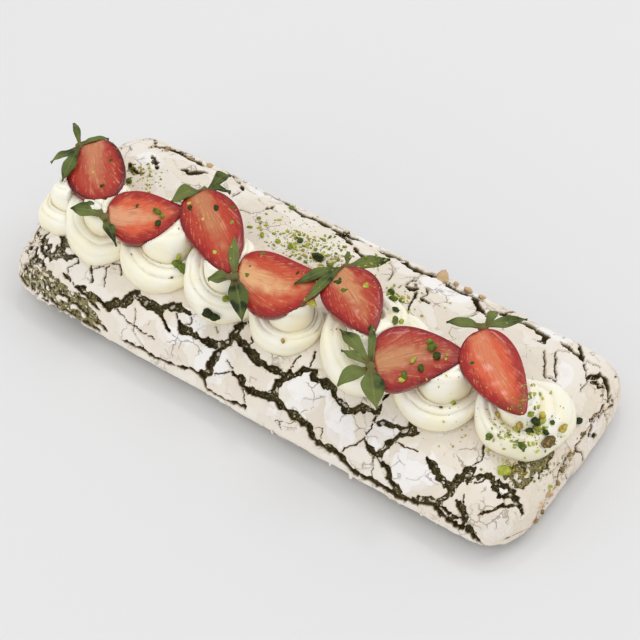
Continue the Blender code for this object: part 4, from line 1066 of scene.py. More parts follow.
def out_from_middle(x, y):
    """How far out a point lies: 0 on the roll's middle line, 1 on its outline."""
    straight, scale, power = corner_terms(x, y)
    du = np.maximum(np.abs(x) - straight, 0) / scale
    dv = np.abs(y) / (1 + WIDTH_TAPER * x / (0.5 * LENGTH))
    return (du**power + dv**power) ** (1 / power) / (0.5 * WIDTH)


def roll_top(x, y):
    """Height of the smooth roll under each point (x, y) of its own frame."""
    out = np.minimum(out_from_middle(x, y), 0.999)
    z = BELLY + (HEIGHT - BELLY) * (1 - out**SECTION_POWER) ** (1 / SECTION_POWER)
    return settle(x, y / (1 + WIDTH_TAPER * x / (0.5 * LENGTH)), z)[:, 2]


def seat(x, y):
    """The height at which cream lies on the crust: clear of its plates also on a slope."""
    here = roll_top(x, y)
    slope = np.hypot(roll_top(x + SEAT_STEP, y) - here, roll_top(x, y + SEAT_STEP) - here)
    return here + CREAM_SEAT * np.hypot(1.0, np.minimum(slope / SEAT_STEP, STEEPEST))


def berry_matrix(x, y, z, bearing, tip_down, side_down):
    """Places a strawberry that lies along X with its cut face up; lengths in millimetres."""
    to_side = math.copysign(side_down, math.cos(math.radians(bearing)))
    turn = Matrix.Rotation(math.radians(bearing), 4, "Z")
    tip = Matrix.Rotation(math.radians(tip_down), 4, "Y")
    side = Matrix.Rotation(math.radians(to_side), 4, "X")
    place = Vector((x * MM + ROLL_MIDDLE[0], y * MM + ROLL_MIDDLE[1], z * MM))
    return Matrix.Translation(place) @ turn @ tip @ side


def berry_girth(t, widest, blunt):
    """Half width of a strawberry along its length, as a share of the widest."""
    return np.maximum(np.sin(math.pi * np.clip(t, 0.0, 1.0) ** widest), 0) ** blunt


def berry_bend(x, length, bow):
    """How far a strawberry's middle line bows to the side."""
    return bow * np.maximum(1 - (2 * x / length) ** 2, 0)


def press_under_berries(points):
    """Pushes the points of the cream down to the underside of the strawberries on it."""
    for x, y, z, length, width, *angles, widest, blunt, bow in STRAWBERRIES:
        length, width = length * MM, width * MM
        there = np.array(berry_matrix(x, y, z, *angles))
        back = np.linalg.inv(there)
        local = points @ back[:3, :3].T + back[:3, 3]
        half = 0.5 * width * berry_girth(local[:, 0] / length + 0.5, widest, blunt)
        aside = np.abs(local[:, 1] - berry_bend(local[:, 0], length, bow * MM))
        beyond = np.hypot(np.maximum(np.abs(local[:, 0]) - 0.5 * length, 0),
                          np.maximum(aside - half, 0))
        under = -BERRY_DEPTH * np.sqrt(np.maximum(half**2 - aside**2, 0))
        limit = under - BERRY_GAP + DENT_SLOPE * beyond
        near = (beyond < DENT_WIDE) & (local[:, 2] > limit)
        local[near, 2] = limit[near]
        points = local @ there[:3, :3].T + there[:3, 3]
    return points


def swirl_lines(x, y, radius, high, tail, lobe, lobe_bearing):
    """The outer crease of a swirl's rope, turn by turn, and the room it has in each direction."""
    total = round(CREAM_TURNS * TURN_STEPS)
    last = total - TURN_STEPS
    c = np.arange(total + 1)
    bearing = tail + 2 * math.pi * (c - total) / TURN_STEPS
    off = (bearing - lobe_bearing + math.pi) % (2 * math.pi) - math.pi
    stretch = 1 + lobe * np.exp(-(off / LOBE_WIDE) ** 2) * (c > last)
    room = np.full(total + 1, ROOM_LEAST)
    for k, a in enumerate(bearing):
        reach = radius * stretch[k] * ROOM_SHARES
        out = out_from_middle(x + reach * math.cos(a), y + reach * math.sin(a))
        fits = np.nonzero(out < CREAM_LIMIT)[0]
        room[k] = ROOM_SHARES[fits[0]] if len(fits) else room[k]
    room = room * stretch
    smooth = np.array([room[(k + np.arange(-4, 5)) % TURN_STEPS + last].mean() for k in c - last])
    room = np.minimum(smooth, room)
    spread = radius * (c / total) ** SPREAD_POWER
    # The tail narrows until it meets the turn inside it
    left = (total - c) / (TAIL_SHARE * total)
    inner = radius * (np.maximum(c - TURN_STEPS, 0) / total) ** SPREAD_POWER
    full = np.sin(0.5 * math.pi * np.clip(left, 0, 1)) ** TAIL_POWER
    ending = left < 1
    spread[ending] = (inner + (spread - inner) * full)[ending]
    lift = CREAM_RIM + (high - CREAM_RIM) * (1 - np.minimum(1, c / last)) ** CLIMB_POWER
    spread[total] = spread[last]
    return bearing, room, spread, lift


def swirl_row(index):
    """One swirl's sizes in metres and radians."""
    x, y, radius, high, tail, lobe, lobe_bearing = SWIRLS[index]
    return (x * MM, y * MM, radius * MM, high * MM, math.radians(tail), lobe,
            math.radians(lobe_bearing))


def swirl(index):
    """One swirl: a rope of cream in a climbing spiral."""
    x, y, *_ = swirl_row(index)
    bearing, room, spread, lift = swirl_lines(*swirl_row(index))
    total = len(bearing) - 1
    bm = bmesh.new()
    bmesh.ops.create_grid(bm, x_segments=ROPE_STEPS, y_segments=total, size=1.0)
    square = mesh_points(bm)
    across = np.round(0.5 * (square[:, 0] + 1) * ROPE_STEPS)
    c = np.round(0.5 * (square[:, 1] + 1) * total).astype(int)
    before = np.maximum(c - TURN_STEPS, 0)
    turn = math.pi * across / ROPE_STEPS
    share = 0.5 - 0.5 * np.cos(turn)
    wide = spread[c] - spread[before]
    bulge = np.sin(turn) ** 0.85
    outer = np.clip(2 * turn / math.pi - 1, 0, 1)
    fall = outer**2.8
    r = spread[before] + wide * (share + 0.07 * bulge * (share > 0.5) * (share - 0.5))
    # Soft folds that wander across the rope, from the nozzle's worn teeth
    wander = 0.9 * np.sin(bearing[c] * 0.9 + 2.3 * index) - 0.35 * bearing[c]
    phase = turn * (5.0 - 2.3 * c / total) + wander
    ledge = (phase / math.pi) % 1
    fold = np.abs(np.sin(phase)) ** 0.6 - 0.75 + 0.9 * (ledge ** 1.4 - 0.4)
    grooves = FOLD_DEEP * np.clip(wide / FULL_ROPE, 0, 1) * fold * bulge
    grooves = grooves * (0.75 + 0.35 * np.sin(bearing[c] * 1.7 + 1.7 * index))
    z = lift[before] * (1 - fall) + lift[c] * fall + ROPE_CROWN * wide * bulge + grooves
    # On the steep outer side of the rope the folds stand out sideways
    r = r * (room[before] * (1 - share) + room[c] * share) + FOLD_ASIDE * grooves * outer**0.5
    px = x + r * np.cos(bearing[c])
    py = y + r * np.sin(bearing[c])
    top = np.column_stack([px, py, seat(px, py) + z])
    lean = np.column_stack(
        [rough(top, CREAM_UNEVEN_LENGTH, 3.1 * index + k) for k in (0, 5, 11)])
    edge = np.minimum(across, ROPE_STEPS - across) / ROPE_STEPS
    # How much painted shade the cream gets along the rope's edges and down in its folds
    keep(bm, "crease", np.exp(-edge * 14) + 0.5 * np.clip(-0.3 - fold, 0, 1))
    move_points(bm, top + CREAM_UNEVEN * lean + (*ROLL_MIDDLE, 0))
    bmesh.ops.remove_doubles(bm, verts=bm.verts[:], dist=WELD)
    bmesh.ops.dissolve_degenerate(bm, edges=bm.edges[:], dist=WELD)
    middle = Vector((x + ROLL_MIDDLE[0], y + ROLL_MIDDLE[1]))
    for tuck in TUCKS:
        lower = drawn_on(bm)
        flat = np.array([middle + (v.co.xy - middle) * tuck for v in lower])
        depth = seat(flat[:, 0] - ROLL_MIDDLE[0], flat[:, 1] - ROLL_MIDDLE[1]) - TUCK_DEEP
        for v, place, z in zip(lower, flat, depth):
            v.co = (*place, z)
    close(bm)
    places = mesh_points(bm)
    own_x, own_y = places[:, 0] - ROLL_MIDDLE[0], places[:, 1] - ROLL_MIDDLE[1]
    ground = seat(own_x, own_y)
    if index + 1 < len(SWIRLS):
        nx, ny, *_ = swirl_row(index + 1)
        n_bearing, n_room, n_spread, _ = swirl_lines(*swirl_row(index + 1))
        ring = slice(len(n_bearing) - TURN_STEPS, None)
        a = np.arctan2(own_y - ny, own_x - nx)
        reach = np.interp(a, n_bearing[ring], (n_room * n_spread)[ring], period=2 * math.pi)
        buried = np.hypot(own_x - nx, own_y - ny) < reach - INSIDE_NEXT
        places[buried, 2] = np.minimum(places[buried, 2], ground[buried] + FLATTENED)
    pressed = press_under_berries(places)
    pressed[:, 2] = np.maximum(pressed[:, 2], ground - PUSHED_MOST)
    move_points(bm, pressed)
    outwards(bm)
    return bm


def cream_finish():
    """Whipped cream: ivory, smooth and soft, with painted shade, darker and yellower, in its
    creases.
    """
    made = Finish("whipped_cream", Roughness=0.42, Specular_IOR_Level=0.35,
                  Subsurface_Weight=0.25, Subsurface_Radius=(0.006, 0.005, 0.0035),
                  Subsurface_Scale=0.6)
    cloud = made.spots(15 * MM, 2)
    plain = cloud.over(0.35, 0.65).tint(shade(253, 246, 220), shade(255, 251, 236))
    # Painted shade: darker and yellower in the creases
    (made.kept("crease") * 0.6).tint(plain, shade(240, 226, 186)).into(made.shader, "Base Color")
    made.relief(made.spots(2.6 * MM, 3, 0.5) + 0.5 * made.spots(0.8 * MM, 2), 0.18 * MM)
    return made


CREAM = cream_finish()
SWIRL_PIECES = [f"piped_swirl_{k + 1}" for k in range(len(SWIRLS))]
for index, name in enumerate(SWIRL_PIECES):
    put(name, swirl(index), CREAM, "cream", f"cream_swirl_{index + 1}", smooth=180)


# The strawberries: ripe fruit cut in half lengthways, wet on the cut face, laid cut side up on
# the cream. A sphere with its poles on the calyx and the tip is flattened into half a berry;
# how far each point lies from the skin and from the calyx is kept for the flesh's colours.
BERRY_AROUND, BERRY_ALONG = 72, 56

# By what share it swells over what length, and how far its sides belly out
BERRY_SWELL, SWELL_LENGTH, BERRY_BELLY = 0.04, 16 * MM, 0.5 * MM
# The cut face: how it rises inside the skin, over what width, how the core dips, how wide that
# is as a share of the half width, how uneven it is, and how far it lies below the skin's edge
FACE_CROWN, CROWN_WIDE = 0.7 * MM, 1.5 * MM
CORE_DIP, CORE_WIDE = 0.35 * MM, 0.25
FACE_UNEVEN, FACE_LENGTH, FACE_SUNK = 0.25 * MM, 5 * MM, 0.4 * MM


def half_berry(index):
    """One half of a strawberry, cut face up, where it lies on the cream."""
    x, y, z, length, width, *angles, widest, blunt, bow = STRAWBERRIES[index]
    length, width = length * MM, width * MM
    bm = bmesh.new()
    bmesh.ops.create_uvsphere(bm, u_segments=BERRY_AROUND, v_segments=BERRY_ALONG, radius=1.0)
    ball = mesh_points(bm)
    along = 0.5 - 0.5 * ball[:, 2]
    around = np.arctan2(ball[:, 1], ball[:, 0])
    half = 0.5 * width * berry_girth(along, widest, blunt)
    # Round the section: across the cut face first, then down round the skin
    turn = (around / math.pi) % 2
    on_face = turn <= 1
    side = np.where(on_face, 1 - 2 * turn, -np.cos(math.pi * (turn - 1)))
    side = np.where(on_face, np.sign(side) * (1 - (1 - np.abs(side)) ** 1.25), side)
    deep = np.where(on_face, 0.0, -np.sin(math.pi * (turn - 1)))
    px = (along - 0.5) * length
    lumps = rough(np.column_stack([px, half * side * 0.8]), SWELL_LENGTH, 3.1 * index)
    swell = 1 + BERRY_SWELL * lumps
    belly = np.where(on_face, 0.0, np.sin(2 * np.arccos(np.clip(np.abs(side), 0, 1))))
    belly = BERRY_BELLY * belly * np.sign(side)
    py = half * side * swell + belly * (half > MM) + berry_bend(px, length, bow * MM)
    pz = half * deep * BERRY_DEPTH * swell
    skin = np.minimum(half * (1 - np.abs(side)), np.minimum(along, 1 - along) * length)
    crown = FACE_CROWN * (1 - np.exp(-skin / CROWN_WIDE))
    core = CORE_DIP * np.exp(-(side / CORE_WIDE) ** 2)
    core = core * np.sin(math.pi * np.clip(along, 0, 1)) ** 2
    uneven = FACE_UNEVEN * rough(np.column_stack([px, py]), FACE_LENGTH, 2.0 + index)
    pz = pz + on_face * (crown - core + uneven * (skin > 1 * MM) - FACE_SUNK)
    keep(bm, "skin", np.where(on_face, skin / MM, -1.0))
    keep(bm, "side", side * half / (0.5 * width))
    keep(bm, "along", along)
    there = np.array(berry_matrix(x, y, z, *angles))
    move_points(bm, np.column_stack([px, py, pz]) @ there[:3, :3].T + there[:3, 3])
    outwards(bm)
    return bm


def berry_finish(index, core, flesh, rim, tip):
    """Wet cut flesh, pale in the core and deep red at the skin; the skin itself is dark."""
    made = Finish(f"strawberry_flesh_{index}", Roughness=0.30, Specular_IOR_Level=0.22,
                  Subsurface_Weight=0.12, Subsurface_Radius=(0.004, 0.0015, 0.001),
                  Subsurface_Scale=0.5, Coat_Weight=0.3, Coat_Roughness=0.16)
    skin, side, along = made.kept("skin"), made.kept("side"), made.kept("along")
    # Pale fibres fan out from the core to the skin
    fan = made.place.node("ShaderNodeCombineXYZ", {}, {
        "X": side / (0.25 + along), "Y": along * 0.30, "Z": 0.37 * index})
    fibres = made.place.node("ShaderNodeTexNoise", {}, {
        "Vector": fan, "Scale": 15.0, "Detail": 3.0, "Roughness": 0.6, "Distortion": 0.6})
    blotch, patch = made.spots(4.5 * MM, 3), made.spots(2.2 * MM, 2)
    inward = skin + (blotch - 0.5) * 4.0 + (patch - 0.5) * 1.5
    red = inward.over(0.7, 3.2).tint(rim, shade(166, 30, 22))
    coral = inward.over(2.2, 7.0).tint(red, flesh)
    heart = (side * side * 5.0 + along * along * 1.4 + (blotch - 0.5) * 1.3).over(1.15, 0.05)
    cored = (heart * 0.9).tint(coral, core)
    pale = fibres.over(0.52, 0.66) * patch.over(0.38, 0.56) * 0.33
    veined = pale.tint(cored, shade(240, 194, 146))
    dark = fibres.over(0.46, 0.34) * blotch.over(0.62, 0.42) * 0.45
    deep = dark.tint(veined, shade(150, 28, 16))
    tipped = (along.over(0.72, 1.0) * 0.8).tint(deep, tip)
    rimmed = (skin + (patch - 0.5) * 1.2).over(2.1, 0.5).tint(tipped, rim)
    # The skin, with its seeds sunk in
    seeds = made.cells(2.6 * MM).over(0.22, 0.12)
    outside = blotch.over(0.35, 0.65).tint(shade(108, 16, 20), shade(150, 28, 26))
    seeded = seeds.tint(outside, shade(196, 150, 70))
    skin.over(-0.5, 0.0).tint(seeded, rimmed).into(made.shader, "Base Color")
    made.relief(fibres * 0.6 + made.spots(1.2 * MM, 3) * 0.7 - seeds * skin.over(0.0, -0.5),
                0.3 * MM)
    return made


# The colours of each: core, flesh, rim and tip
FLESH = (
    (shade(202, 132, 94), shade(180, 66, 46), shade(96, 8, 12), shade(158, 46, 34)),
    (shade(226, 164, 122), shade(216, 92, 54), shade(156, 28, 24), shade(150, 36, 30)),
    (shade(196, 130, 86), shade(186, 62, 38), shade(134, 20, 22), shade(162, 40, 34)),
    (shade(230, 178, 126), shade(198, 78, 44), shade(158, 30, 24), shade(150, 36, 30)),
    (shade(208, 148, 100), shade(180, 62, 38), shade(132, 20, 22), shade(156, 42, 34)),
    (shade(196, 138, 92), shade(178, 68, 44), shade(136, 22, 24), shade(124, 28, 26)),
    (shade(218, 130, 90), shade(214, 88, 52), shade(156, 30, 26), shade(120, 78, 40)),
)
BERRY_PIECES = [f"berry_half_{k + 1}" for k in range(len(STRAWBERRIES))]
for index, name in enumerate(BERRY_PIECES):
    put(name, half_berry(index), berry_finish(index + 1, *FLESH[index]), "strawberry",
        f"strawberry_{index + 1}", smooth=50)


# The sepals: the strawberries' own soft green leaves, left on at the calyx. Each leaf is a flat
# grid drawn out to its shape, folded along its midrib, laid on what lies under it and given a
# thickness; a small knob joins the leaves of one berry.

# Bearing, length and width of each leaf, in degrees and millimetres
SEPALS = (
    ((-104, 14, 4.5), (-74, 20, 6.5), (137, 12, 3.0), (58, 11, 3.5)),
    ((-169, 13.5, 9.0), (-40, 15.5, 5.5)),
    ((-128, 13.5, 8.0), (72, 12.5, 8.5), (30, 9, 3.0)),
    ((-139, 9, 7.0), (-48, 22, 9.0), (128, 17.5, 5.0)),
    ((42, 17.5, 7.0), (112, 5, 3.0), (-128, 22, 6.0), (-103, 26, 5.0)),
    ((153, 22, 8.0), (-179, 12.5, 5.5), (-113, 15, 8.0), (-54, 20, 11.0), (120, 18, 3.5)),
    ((-156, 13.5, 5.5), (87, 8, 4.5), (46, 17.5, 6.5)),
)
# Where each calyx sits: how far towards the tip and to its left of the end of the middle line
CALYX_SHIFT = ((1.6, -7.0), (0, 0), (0, 5), (1.2, -5.5), (1, 6), (0, 0), (-1.5, 5))
# A leaf's thickness, how far from the knob's middle its length counts, and how clear it lies
SEPAL_THICK, SEPAL_HUB, SEPAL_CLEAR = 0.0005, 0.0034, 0.0007
LEAF_ALONG, LEAF_ACROSS = 18, 8
# The knob's radius, how flat it is, and how rough over what length; then how far beyond the
# berry's end and below its cut face it sits, in millimetres
KNOB, KNOB_FLAT, KNOB_ROUGH, KNOB_LENGTH = 2.4 * MM, 0.55, 0.5 * MM, 1.6 * MM
CALYX_BEYOND, CALYX_BELOW = 1.2, 1.0
# How near to the knob's middle a leaf starts, how its width grows and shrinks along it, and the
# least half width that it keeps
LEAF_START, LEAF_LEAST = 0.6 * MM, 0.05 * MM
LEAF_FROM, LEAF_OVER, LEAF_POWER = 0.12, 0.83, 0.75
# How high it arches, how it waves along its middle and at its sides, how far it curls aside, as a
# share of its length, how it folds up, as a share of its width, and how its midrib is sunk
LEAF_ARCH, LEAF_WAVE, LEAF_FRILL, LEAF_CURL = 1.8 * MM, 0.8 * MM, 0.5 * MM, 0.10
LEAF_FOLD, RIB_SUNK, RIB_WIDE = 0.20, 0.25 * MM, 0.18


def add_to(whole, bm):
    """Adds a shape to a larger one."""
    mesh = bpy.data.meshes.new("leaf")
    bm.to_mesh(mesh)
    bm.free()
    whole.from_mesh(mesh)
    bpy.data.meshes.remove(mesh)


def leaves_of(index, tree):
    """The leaves of one strawberry and the knob that joins them, as one piece."""
    x, y, z, length, _, bearing, *_ = STRAWBERRIES[index]
    a = math.radians(bearing)
    ahead, aside = CALYX_SHIFT[index]
    ahead -= 0.5 * length + CALYX_BEYOND
    hub = Vector(((x + ahead * math.cos(a) - aside * math.sin(a)) * MM + ROLL_MIDDLE[0],
                  (y + ahead * math.sin(a) + aside * math.cos(a)) * MM + ROLL_MIDDLE[1],
                  (z - CALYX_BELOW) * MM))
    whole = bmesh.new()
    for name in ("side", "along"):
        whole.verts.layers.float.new(name)
    ordered = sorted(SEPALS[index])
    for i, (turn, long, wide) in enumerate(ordered):
        a = math.radians(turn)
        # Half the angle to the next leaf on either side is room for this one
        sides = (ordered[i - 1][0], ordered[(i + 1) % len(ordered)][0])
        room = min(math.radians(min((turn - b) % 360, (b - turn) % 360)) for b in sides)
        room = min(room, 0.5 * math.pi)
        bm = bmesh.new()
        bmesh.ops.create_grid(bm, x_segments=LEAF_ALONG, y_segments=LEAF_ACROSS, size=1.0)
        square = mesh_points(bm)
        t, across = 0.5 * (square[:, 0] + 1), square[:, 1]
        reach = LEAF_START + t * (SEPAL_HUB + long * MM - LEAF_START)
        own = np.clip((reach - SEPAL_HUB) / (long * MM), 0, 1)
        half = 0.5 * wide * MM * np.sin(math.pi * (LEAF_FROM + LEAF_OVER * own)) ** LEAF_POWER
        # Some leaves end blunt and some sharp
        half = half * (1 - own ** (3 + (3 * i + 2 * index) % 5))
        half = np.minimum(half, 0.9 * reach * math.tan(0.5 * room)) + LEAF_LEAST
        wave = (LEAF_WAVE * np.sin(5.0 * own + index + turn)
                + LEAF_FRILL * across**2 * np.sin(9 * own + turn))
        rise = LEAF_ARCH * np.sin(math.pi * own) + wave
        fold = LEAF_FOLD * half * np.abs(across) - RIB_SUNK * np.exp(-(across / RIB_WIDE) ** 2)
        curl = LEAF_CURL * long * MM * math.sin(turn * 1.7) * own**2
        px = hub.x + reach * math.cos(a) - (across * half + curl) * math.sin(a)
        py = hub.y + reach * math.sin(a) + (across * half + curl) * math.cos(a)
        pz = hub.z + rise + fold
        for k in range(len(pz)):
            place, _ = feel(tree, px[k], py[k])
            if place:
                pz[k] = max(pz[k], place.z + 0.5 * SEPAL_CLEAR + SEPAL_THICK)
        keep(bm, "side", across)
        keep(bm, "along", own)
        move_points(bm, np.column_stack([px, py, pz]))
        for _ in range(2):
            bmesh.ops.smooth_vert(bm, verts=[v for v in bm.verts if not v.is_boundary],
                                  factor=0.5, use_axis_z=True)
        bm.normal_update()
        bmesh.ops.solidify(bm, geom=bm.faces[:], thickness=SEPAL_THICK)
        outwards(bm)
        add_to(whole, bm)
    knob = bmesh.new()
    bmesh.ops.create_icosphere(
        knob, subdivisions=3, radius=KNOB,
        matrix=Matrix.Translation(hub) @ Matrix.Diagonal((1, 1, KNOB_FLAT, 1)))
    for v in knob.verts:
        v.co += KNOB_ROUGH * Vector(noise.noise_vector(v.co / KNOB_LENGTH))
    add_to(whole, knob)
    return whole


def leaf_finish():
    """Soft green leaf, some lighter than others, with a pale midrib and stem."""
    made = Finish("strawberry_leaf", Roughness=0.6, Specular_IOR_Level=0.25)
    side, along = made.kept("side"), made.kept("along")
    cloud = made.spots(5 * MM, 3)
    own = made.spots(22 * MM, 0.0)
    plain = cloud.over(0.38, 0.62).tint(shade(30, 42, 12), shade(84, 97, 44))
    light = (own.over(0.42, 0.62) * 0.7).tint(plain, shade(118, 130, 66))
    ribbed = ((side * side).over(0.02, 0.0) * 0.3).tint(light, shade(138, 142, 84))
    stem = (along.over(0.14, 0.0) * 0.7).tint(ribbed, shade(110, 98, 56))
    stem.into(made.shader, "Base Color")
    made.relief(made.spots(0.9 * MM, 3), 0.2 * MM)
    return made


LEAF = leaf_finish()
LEAF_PIECES = [f"berry_leaves_{k + 1}" for k in range(len(SEPALS))]
below = tops_of("crust_front", "crust_back", *SWIRL_PIECES, *BERRY_PIECES)
for index, name in enumerate(LEAF_PIECES):
    put(name, leaves_of(index, below), LEAF, "leaf", f"strawberry_leaves_{index + 1}", smooth=70)


# The pistachios: green kernels chopped by hand and scattered last, from coarse pieces down to
# dust. One rough pebble in a few shapes is copied to every place and felt down onto what
# lies under it; how green each piece is is kept for the finish.

# Where each coarse piece shows in a picture 640 across, its size in millimetres and its tone
NUTS = (
    (102, 186, 3.6, 0.05), (111, 160, 3, 0.2), (93, 172, 2, 0.8), (157, 212, 3.6, 0.3),
    (158, 224, 3.2, 0.1), (162, 217, 2.4, 0.4), (137, 206, 1.8, 0.2), (190, 208, 4.4, 0.05),
    (189, 203, 3, 0.72), (216, 208, 5, 0.08), (216, 208, 2.4, 1.0), (232, 222, 3, 0.5),
    (215, 252, 3.8, 0.72), (203, 219, 2.6, 0.72), (232, 207, 2.6, 0.3), (247, 275, 3.6, 0.3),
    (263, 253, 3.6, 0.4), (297, 273, 3, 0.1), (250, 266, 2, 0.9), (308, 303, 4.2, 0.8),
    (337, 282, 4.6, 0.2), (344, 290, 4.2, 0.35), (366, 285, 4, 0.6), (370, 328, 4, 0.05),
    (340, 279, 2.6, 0.15), (432, 348, 4.6, 0.3), (437, 357, 4, 0.1), (430, 342, 3, 0.4),
    (413, 361, 3, 0.6), (421, 369, 3.4, 0.2), (404, 376, 4, 0.3), (402, 380, 3, 0.7),
    (472, 363, 3.2, 0.2), (534, 420, 5, 0.08), (528, 430, 4.6, 0.12), (519, 424, 4, 0.9),
    (546, 441, 6.4, 1.0), (545, 433, 3, 0.1), (543, 417, 4.2, 0.82), (498, 415, 3.4, 0.85),
    (561, 428, 4.6, 0.85), (521, 445, 4.2, 0.3), (490, 436, 3.8, 0.3), (577, 421, 4, 0.02),
    (504, 471, 6, 0.6), (318, 259, 5.2, 0.05), (290, 247, 3.2, 0.5), (278, 242, 2.8, 0.6),
    (262, 236, 2.8, 0.6), (300, 242, 3, 0.2), (330, 266, 3, 0.4), (129, 182, 3.2, 0.3),
    (133, 167, 2.8, 0.6), (209, 312, 5.4, 0.02), (215, 315, 5.4, 0.04), (226, 300, 4, 0.5),
    (177, 262, 5.4, 0.4), (182, 269, 6, 0.3), (178, 256, 3, 0.6), (310, 304, 5, 0.75),
    (283, 341, 2.4, 0.9), (453, 402, 3, 0.5), (441, 408, 1.8, 1.0), (172, 278, 1.6, 1.0),
    (393, 300, 4, 0.3), (391, 293, 3.4, 0.2), (396, 311, 3.2, 0.1), (395, 322, 4, 0.3),
    (401, 322, 2.6, 0.6), (291, 209, 3, 0.4), (543, 422, 3, 0.6), (530, 414, 3, 0.5),
    (552, 423, 2.6, 0.2), (537, 429, 3.4, 0.55), (515, 430, 2.6, 0.7),
)
# Where finer bits lie: middle, half size along and across, how many, smallest and largest
SPRINKLES = (
    (-16, 22, 26, 14, 420, 0.5, 2.0), (-108, 12, 12, 10, 90, 0.5, 1.7),
    (36, 14, 14, 12, 110, 0.6, 2.2), (126, -14, 18, 18, 220, 0.5, 2.0),
    (123, -27, 13, 5, 90, 0.5, 1.6), (-60, -20, 30, 16, 40, 0.4, 1.4),
    (90, -24, 22, 14, 50, 0.4, 1.5), (20, 0, 120, 34, 160, 0.4, 1.3),
)
# How far up the middles of coarse pieces, of finer bits and of the dab below lie, as a share of
# their size, and the height under which no bit is left lying
NUT_PROUD, BIT_PROUD, DAB_PROUD = 0.26, 0.22, 0.2
LOWEST_BIT = 0.02


def nut_finish():
    """Chopped kernels, from dark green skins to pale yellow-green insides."""
    made = Finish("chopped_pistachio", Roughness=0.75, Specular_IOR_Level=0.25)
    cloud = made.spots(1.4 * MM, 3)
    tone = made.kept("tone") + (cloud - 0.5) * 0.5
    stops = (
        (0.0, shade(34, 42, 14)), (0.25, shade(74, 92, 28)), (0.50, shade(136, 150, 50)),
        (0.72, shade(200, 202, 84)), (0.86, shade(188, 160, 78)), (1.0, shade(98, 80, 52)))
    colour = tone.node("ShaderNodeValToRGB", {"stops": stops}, {"Fac": tone}, "Color")
    colour.into(made.shader, "Base Color")
    made.relief(cloud, 0.25 * MM)
    return made


# The camera, that the coarse pieces are placed by, and that the picture is taken with below:
# what it looks at, how far round to the right and above it stands, and how far away
CAMERA_AIM = Vector((3.55, 1.19, 22.88)) * MM
CAMERA_AROUND, CAMERA_ABOVE = math.radians(33.5), math.radians(52)
CAMERA_AWAY = 1.139
# Its lens and the width of its film in millimetres, and the width of the picture in pixels
CAMERA_LENS, FILM, PICTURE = 135, 36, 640
CAMERA_BACK = Vector((math.sin(CAMERA_AROUND) * math.cos(CAMERA_ABOVE),
                      -math.cos(CAMERA_AROUND) * math.cos(CAMERA_ABOVE), math.sin(CAMERA_ABOVE)))


def seen_at(tree, x, y):
    """What lies at a place in the picture: the point, and the way that it faces."""
    turn = CAMERA_BACK.to_track_quat("Z", "Y")
    across, above = (x - 0.5 * PICTURE) / PICTURE * FILM, (0.5 * PICTURE - y) / PICTURE * FILM
    away = turn @ Vector((across, above, -CAMERA_LENS))
    place, up, _, _ = tree.ray_cast(CAMERA_AIM + CAMERA_BACK * CAMERA_AWAY, away)
    return place, up


def scattered(tree):
    """Coarse pieces where they show, and finer bits drawn at random round them."""
    rng = random.Random(SEED + 3)
    for x, y, size, tone in NUTS:
        place, up = seen_at(tree, x, y)
        yield place + up * NUT_PROUD * size * MM, size * MM, up, tone, rng.uniform(0.85, 1.2)
    for x, y, along, across, count, small, large in SPRINKLES:
        for _ in range(count):
            size = (small + (large - small) * rng.random() ** 2.2) * MM
            place, up = feel(tree, (x + along * rng.gauss(0, 0.5)) * MM + ROLL_MIDDLE[0],
                             (y + across * rng.gauss(0, 0.5)) * MM + ROLL_MIDDLE[1])
            if place and place.z > LOWEST_BIT:
                middle = place + up * BIT_PROUD * size
                yield middle, size, up, rng.uniform(0.38, 0.92), rng.uniform(0.9, 1.35)


below = tops_of("crust_front", "crust_back", "crumb_body",
                *SWIRL_PIECES, *BERRY_PIECES, *LEAF_PIECES)
pebbles("chopped_pistachios", list(scattered(below)), nut_finish(), "leaf", "roll")
# A dab of cream lies on a leaf of the second strawberry: places in the picture and sizes
DAB = ((97, 205, 4.6), (101, 202, 3.2), (93, 207, 3.0), (98, 208, 2.6))


def dab(tree):
    """The dab's few soft lumps."""
    for x, y, size in DAB:
        place, up = seen_at(tree, x, y)
        yield place + up * DAB_PROUD * size * MM, size * MM, up, 0.0, 1.0


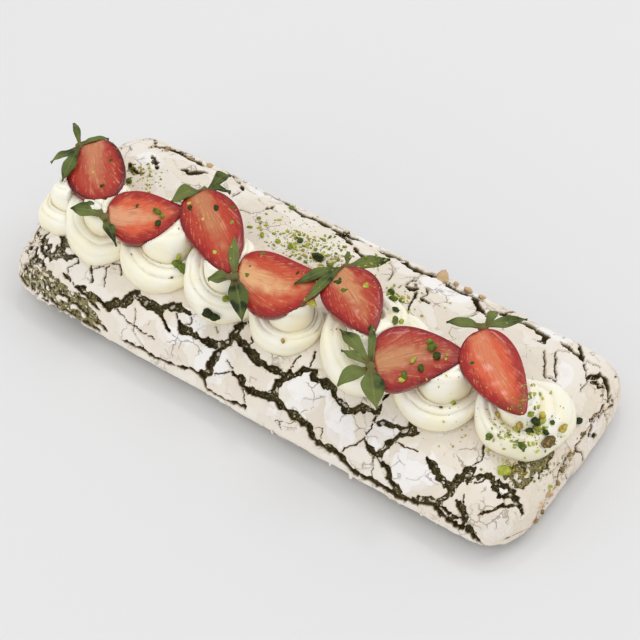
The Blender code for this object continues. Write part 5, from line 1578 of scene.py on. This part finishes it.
pebbles("cream_dab", list(dab(below)), CREAM, "cream", "strawberry_leaves_2", flat=0.6)


# The floor, the light and the camera: a plain pale surface under a soft, bright sky, with the
# light coming from the upper right and back, seen from above the front right corner.
FLOOR_REACH = 4.0
SKY_STRENGTH = 0.80
# Each light's place, width and power; all of them shine on the cake's middle
LIGHTS = {
    "window": ((0.5, 0.6, 1.5), 0.9, 5),
    "fill": ((-0.5, -1.0, 0.45), 1.0, 2.2),
    "glint": ((-0.25, 0.50, 1.30), 0.15, 1.1),
}


def floor():
    """A plain pale floor, that is no part of the cake."""
    bm = bmesh.new()
    bmesh.ops.create_grid(bm, x_segments=1, y_segments=1, size=FLOOR_REACH)
    piece = stand("floor", bm, Finish("pale_floor", Roughness=0.9, Base_Color=shade(229, 229, 230)))


def soft_light(name, place, size, power):
    """A round soft light."""
    lamp = bpy.data.lights.new(name, "AREA")
    lamp.shape, lamp.size, lamp.energy = "DISK", size, power
    piece = bpy.data.objects.new(name, lamp)
    piece.location = place
    piece.rotation_mode = "QUATERNION"
    piece.rotation_quaternion = (-Vector(place)).to_track_quat("-Z", "Y")
    bpy.context.scene.collection.objects.link(piece)


def camera():
    """The camera that the picture is taken with."""
    lens = bpy.data.cameras.new("camera")
    lens.lens, lens.clip_start, lens.clip_end = CAMERA_LENS, 0.05, 20
    piece = bpy.data.objects.new("camera", lens)
    piece.location = CAMERA_AIM + CAMERA_BACK * CAMERA_AWAY
    piece.rotation_mode = "QUATERNION"
    piece.rotation_quaternion = CAMERA_BACK.to_track_quat("Z", "Y")
    bpy.context.scene.collection.objects.link(piece)
    bpy.context.scene.camera = piece


floor()
world = bpy.data.worlds.new("sky")
world.use_nodes = True
sky = world.node_tree.nodes["Background"]
sky.inputs["Color"].default_value = (1.0, 1.0, 1.0, 1.0)
sky.inputs["Strength"].default_value = SKY_STRENGTH
bpy.context.scene.world = world
for name, light in LIGHTS.items():
    soft_light(name, *light)
bpy.context.scene.view_settings.view_transform = "Standard"
camera()
